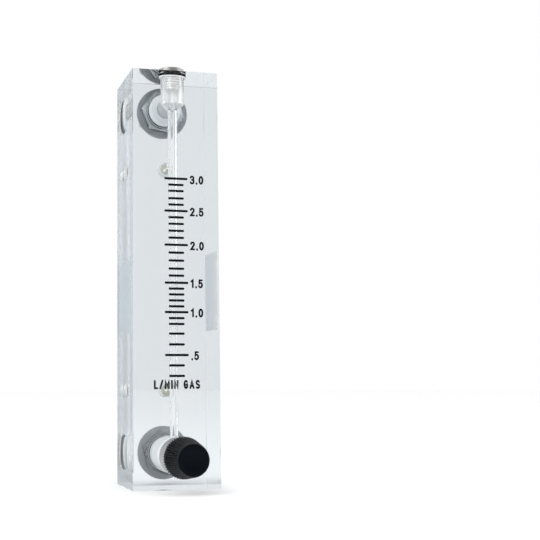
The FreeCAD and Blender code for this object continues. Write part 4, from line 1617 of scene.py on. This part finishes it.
@dataclass
class Studio:
    """Camera, floor, lamps and surroundings.

    Attributes:
        eye: Place of the camera.
        yaw: Turn of the view from +Y towards +X, in degrees.
        pitch: Upward tilt of the view, in degrees.
        roll: Turn about the view line, in degrees.
        lens: Focal length for the sensor.
        sensor: Width of the sensor.
        shift: Sideways shift of the frame.
        lamps: Name, place in metres, size in metres and power in watts of each lamp.
        aim: Point that the lamps look at, in metres.
        floor_half: Half width of the floor.
        floor_level: Height of the floor.
        floor_tone: Tone of the floor.
        near_side: Range of the ray's Y over which the near side's light turns plain.
        far_side: Range of the ray's Y over which plain light turns to the far wall's.
        near_glossy: Light of the near side on metal and polished faces.
        near_clear: Light of the near side through the acrylic.
        far_glossy: Light of the far wall on metal and polished faces.
    """

    eye: tuple = (-99.29, -407.0, 40.11)
    yaw: float = 13.61
    pitch: float = 6.32
    roll: float = -0.28
    lens: float = 69.09
    sensor: float = 36.0
    shift: float = 0.1944
    lamps: tuple = (
        ("lamp_left", (-0.75, -0.55, 0.75), (0.6, 0.6), 4.0),
        ("lamp_right", (0.8, -0.35, 0.5), (0.4, 0.7), 1.3),
    )
    aim: tuple = (0.0, 0.0, 0.085)
    floor_half: float = 6000.0
    floor_level: float = -0.06
    floor_tone: float = 0.985
    near_side: tuple = (-0.5, 0.4)
    far_side: tuple = (0.6, 0.9)
    near_glossy: float = 0.06
    near_clear: float = 1.4
    far_glossy: float = 0.85

    def camera(self) -> None:
        """Makes the camera.

        The view looks along (sin yaw cos pitch, cos yaw cos pitch, sin pitch), with its level
        axis along (cos yaw, -sin yaw, 0), and the roll turns that axis about the view.
        """
        yaw, pitch, roll = (math.radians(angle) for angle in (self.yaw, self.pitch, self.roll))
        ahead = np.array([
            math.sin(yaw) * math.cos(pitch), math.cos(yaw) * math.cos(pitch), math.sin(pitch),
        ])
        level = np.array([math.cos(yaw), -math.sin(yaw), 0.0])
        up = np.cross(level, ahead)
        right = math.cos(roll) * level + math.sin(roll) * up
        above = -math.sin(roll) * level + math.cos(roll) * up
        data = bpy.data.cameras.new("camera")
        data.lens, data.sensor_width, data.shift_x = self.lens, self.sensor, self.shift
        data.clip_start, data.clip_end = 0.01, 50.0
        camera = bpy.data.objects.new("camera", data)
        turn = Matrix(np.stack([right, above, -ahead], -1).tolist()).to_4x4()
        camera.matrix_world = Matrix.Translation([number * MM for number in self.eye]) @ turn
        bpy.context.scene.collection.objects.link(camera)
        bpy.context.scene.camera = camera

    def lamp(self, name: str, place: tuple, size: tuple, power: float) -> None:
        """Makes a soft rectangular lamp that looks at the middle of the meter.

        Args:
            name: Name of the lamp.
            place: Its place in metres.
            size: Width and height in metres.
            power: Power in watts.
        """
        data = bpy.data.lights.new(name, "AREA")
        data.shape, data.size, data.size_y, data.energy = "RECTANGLE", size[0], size[1], power
        lamp = bpy.data.objects.new(name, data)
        back = np.array(place) - np.array(self.aim)
        back /= np.linalg.norm(back)
        right = np.cross((0.0, 0.0, 1.0), back)
        right /= np.linalg.norm(right)
        turn = Matrix(np.stack([right, np.cross(back, right), back], -1).tolist()).to_4x4()
        lamp.matrix_world = Matrix.Translation(place) @ turn
        bpy.context.scene.collection.objects.link(lamp)

    def floor(self) -> None:
        """Makes the plain pale floor."""
        corners = np.array([(-1, -1, 0), (1, -1, 0), (1, 1, 0), (-1, 1, 0)]) * self.floor_half
        floor = make_piece("floor", corners + (0, 0, self.floor_level), [(0, 1, 2, 3)])
        shader = Shader("pale_floor")
        plain = shader.node("BsdfDiffuse", {"Color": (*[self.floor_tone] * 3, 1)})
        floor.data.materials.append(shader.finish(plain))

    def world(self) -> None:
        """Makes the surroundings, white to the camera and to the light on plain surfaces.

        Through the acrylic the near side of the room shows brighter.  Metal and polished
        faces mirror it dark, and the far wall a little below white.
        """
        world = bpy.data.worlds.new("studio")
        bpy.context.scene.world = world
        world.use_nodes = True
        world.node_tree.nodes.clear()
        sky = Tree(world.node_tree)
        path = sky.node("LightPath").outputs
        camera, glossy = path["Is Camera Ray"], path["Is Glossy Ray"]
        through = path["Is Transmission Ray"]
        ray = sky.node("TexCoord").outputs["Generated"]
        along = sky.node("SeparateXYZ", {0: ray}).outputs[1]
        near = sky.spread(along, self.near_side, (self.near_clear, 1.0))
        clear = sky.math("MULTIPLY", through, near)
        near = sky.spread(along, self.near_side, (self.near_glossy, 1.0))
        far = sky.spread(along, self.far_side, (1.0, self.far_glossy))
        mirror = sky.math("MULTIPLY", sky.math("MULTIPLY", glossy, near), far)
        bright = sky.math("MAXIMUM", sky.math("MAXIMUM", camera, clear), mirror)
        known = sky.math("MAXIMUM", sky.math("MAXIMUM", camera, through), glossy)
        plain = sky.math("SUBTRACT", 1.0, known)
        light = sky.node("Background", {"Color": WHITE, "Strength": sky.math("ADD", bright, plain)})
        sky.node("OutputWorld", {"Surface": light.outputs[0]})

    def build(self) -> None:
        """Makes the whole studio."""
        self.camera()
        self.floor()
        self.world()
        for lamp in self.lamps:
            self.lamp(*lamp)
        bpy.context.scene.view_settings.view_transform = "Standard"


def main() -> None:
    """Builds every sub-assembly and the studio."""
    logging.basicConfig(level=logging.INFO, format="%(message)s")
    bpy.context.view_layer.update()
    low, high = (np.array(corner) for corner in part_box("body_block"))
    finishes = Finishes(SharedGroups(), low, high)

    block = AcrylicBlock()
    piece = block.build()
    block.dress(piece, finishes)
    LOG.info("block: %d faces", len(piece.data.polygons))

    # The fittings and washers take one steel in different tones: painted shade on the low fitting
    # and the high washer, painted light on the high fitting and the low washer.
    for fitting in (
        PipeFitting("inlet", LOWER_PORT, -13.0, Finish.FITTING_LOW_PAINTED_SHADE, Finish.WASHER_LOW_PAINTED_LIGHT),
        PipeFitting("outlet", UPPER_PORT, -21.0, Finish.FITTING_HIGH_PAINTED_LIGHT, Finish.WASHER_HIGH_PAINTED_SHADE),
    ):
        pieces = fitting.build()
        fitting.dress(pieces, finishes)
        sizes = {name: len(made.data.polygons) for name, made in pieces.items()}
        LOG.info("%s: %s", fitting.name, sizes)

    for maker in (
        SqueezedSeal("top_plug_seal", Facing.UP, (0, BORE_LINE, 0), 3.75, 5.6, 163.75, 165.07, 0.3),
        SqueezedSeal("inlet_fitting_seal", Facing.BACK, (0, BACK_FACE, LOWER_PORT)),
        SqueezedSeal("outlet_fitting_seal", Facing.BACK, (0, BACK_FACE, UPPER_PORT)),
        FlutedKnob(),
        FloatBall(),
        PrintedScale(
            numbered={
                "3.0": 121.14, "2.5": 108.24, "2.0": 94.72, "1.5": 79.76, "1.0": 68.25, ".5": 51.57,
            },
            plain=(
                118.65, 116.20, 113.24, 110.72, 105.65, 103.06, 100.28, 97.54, 91.63, 88.51, 85.31,
                82.56, 77.45, 75.17, 72.82, 70.51, 65.90, 63.64, 59.87, 55.68, 47.55, 43.50,
            ),
        ),
        SideFilm(),
    ):
        piece = maker.build()
        maker.dress(piece, finishes)
        LOG.info("%s: %d faces", piece.name, len(piece.data.polygons))

    KeptNodes({
        "valve_body": Finish.VALVE, "valve_stem": Finish.VALVE, "top_plug": Finish.PLUG,
        "upper_float_stop": Finish.STOP, "valve_seal_front": Finish.RUBBER,
        "valve_seal_rear": Finish.RUBBER, "valve_stem_seal": Finish.RUBBER,
        "mounting_insert_lower": Finish.BRASS, "mounting_insert_upper": Finish.BRASS,
    }).dress(frame["nodes"], finishes)

    Studio().build()


if __name__ == "__main__":
    main()
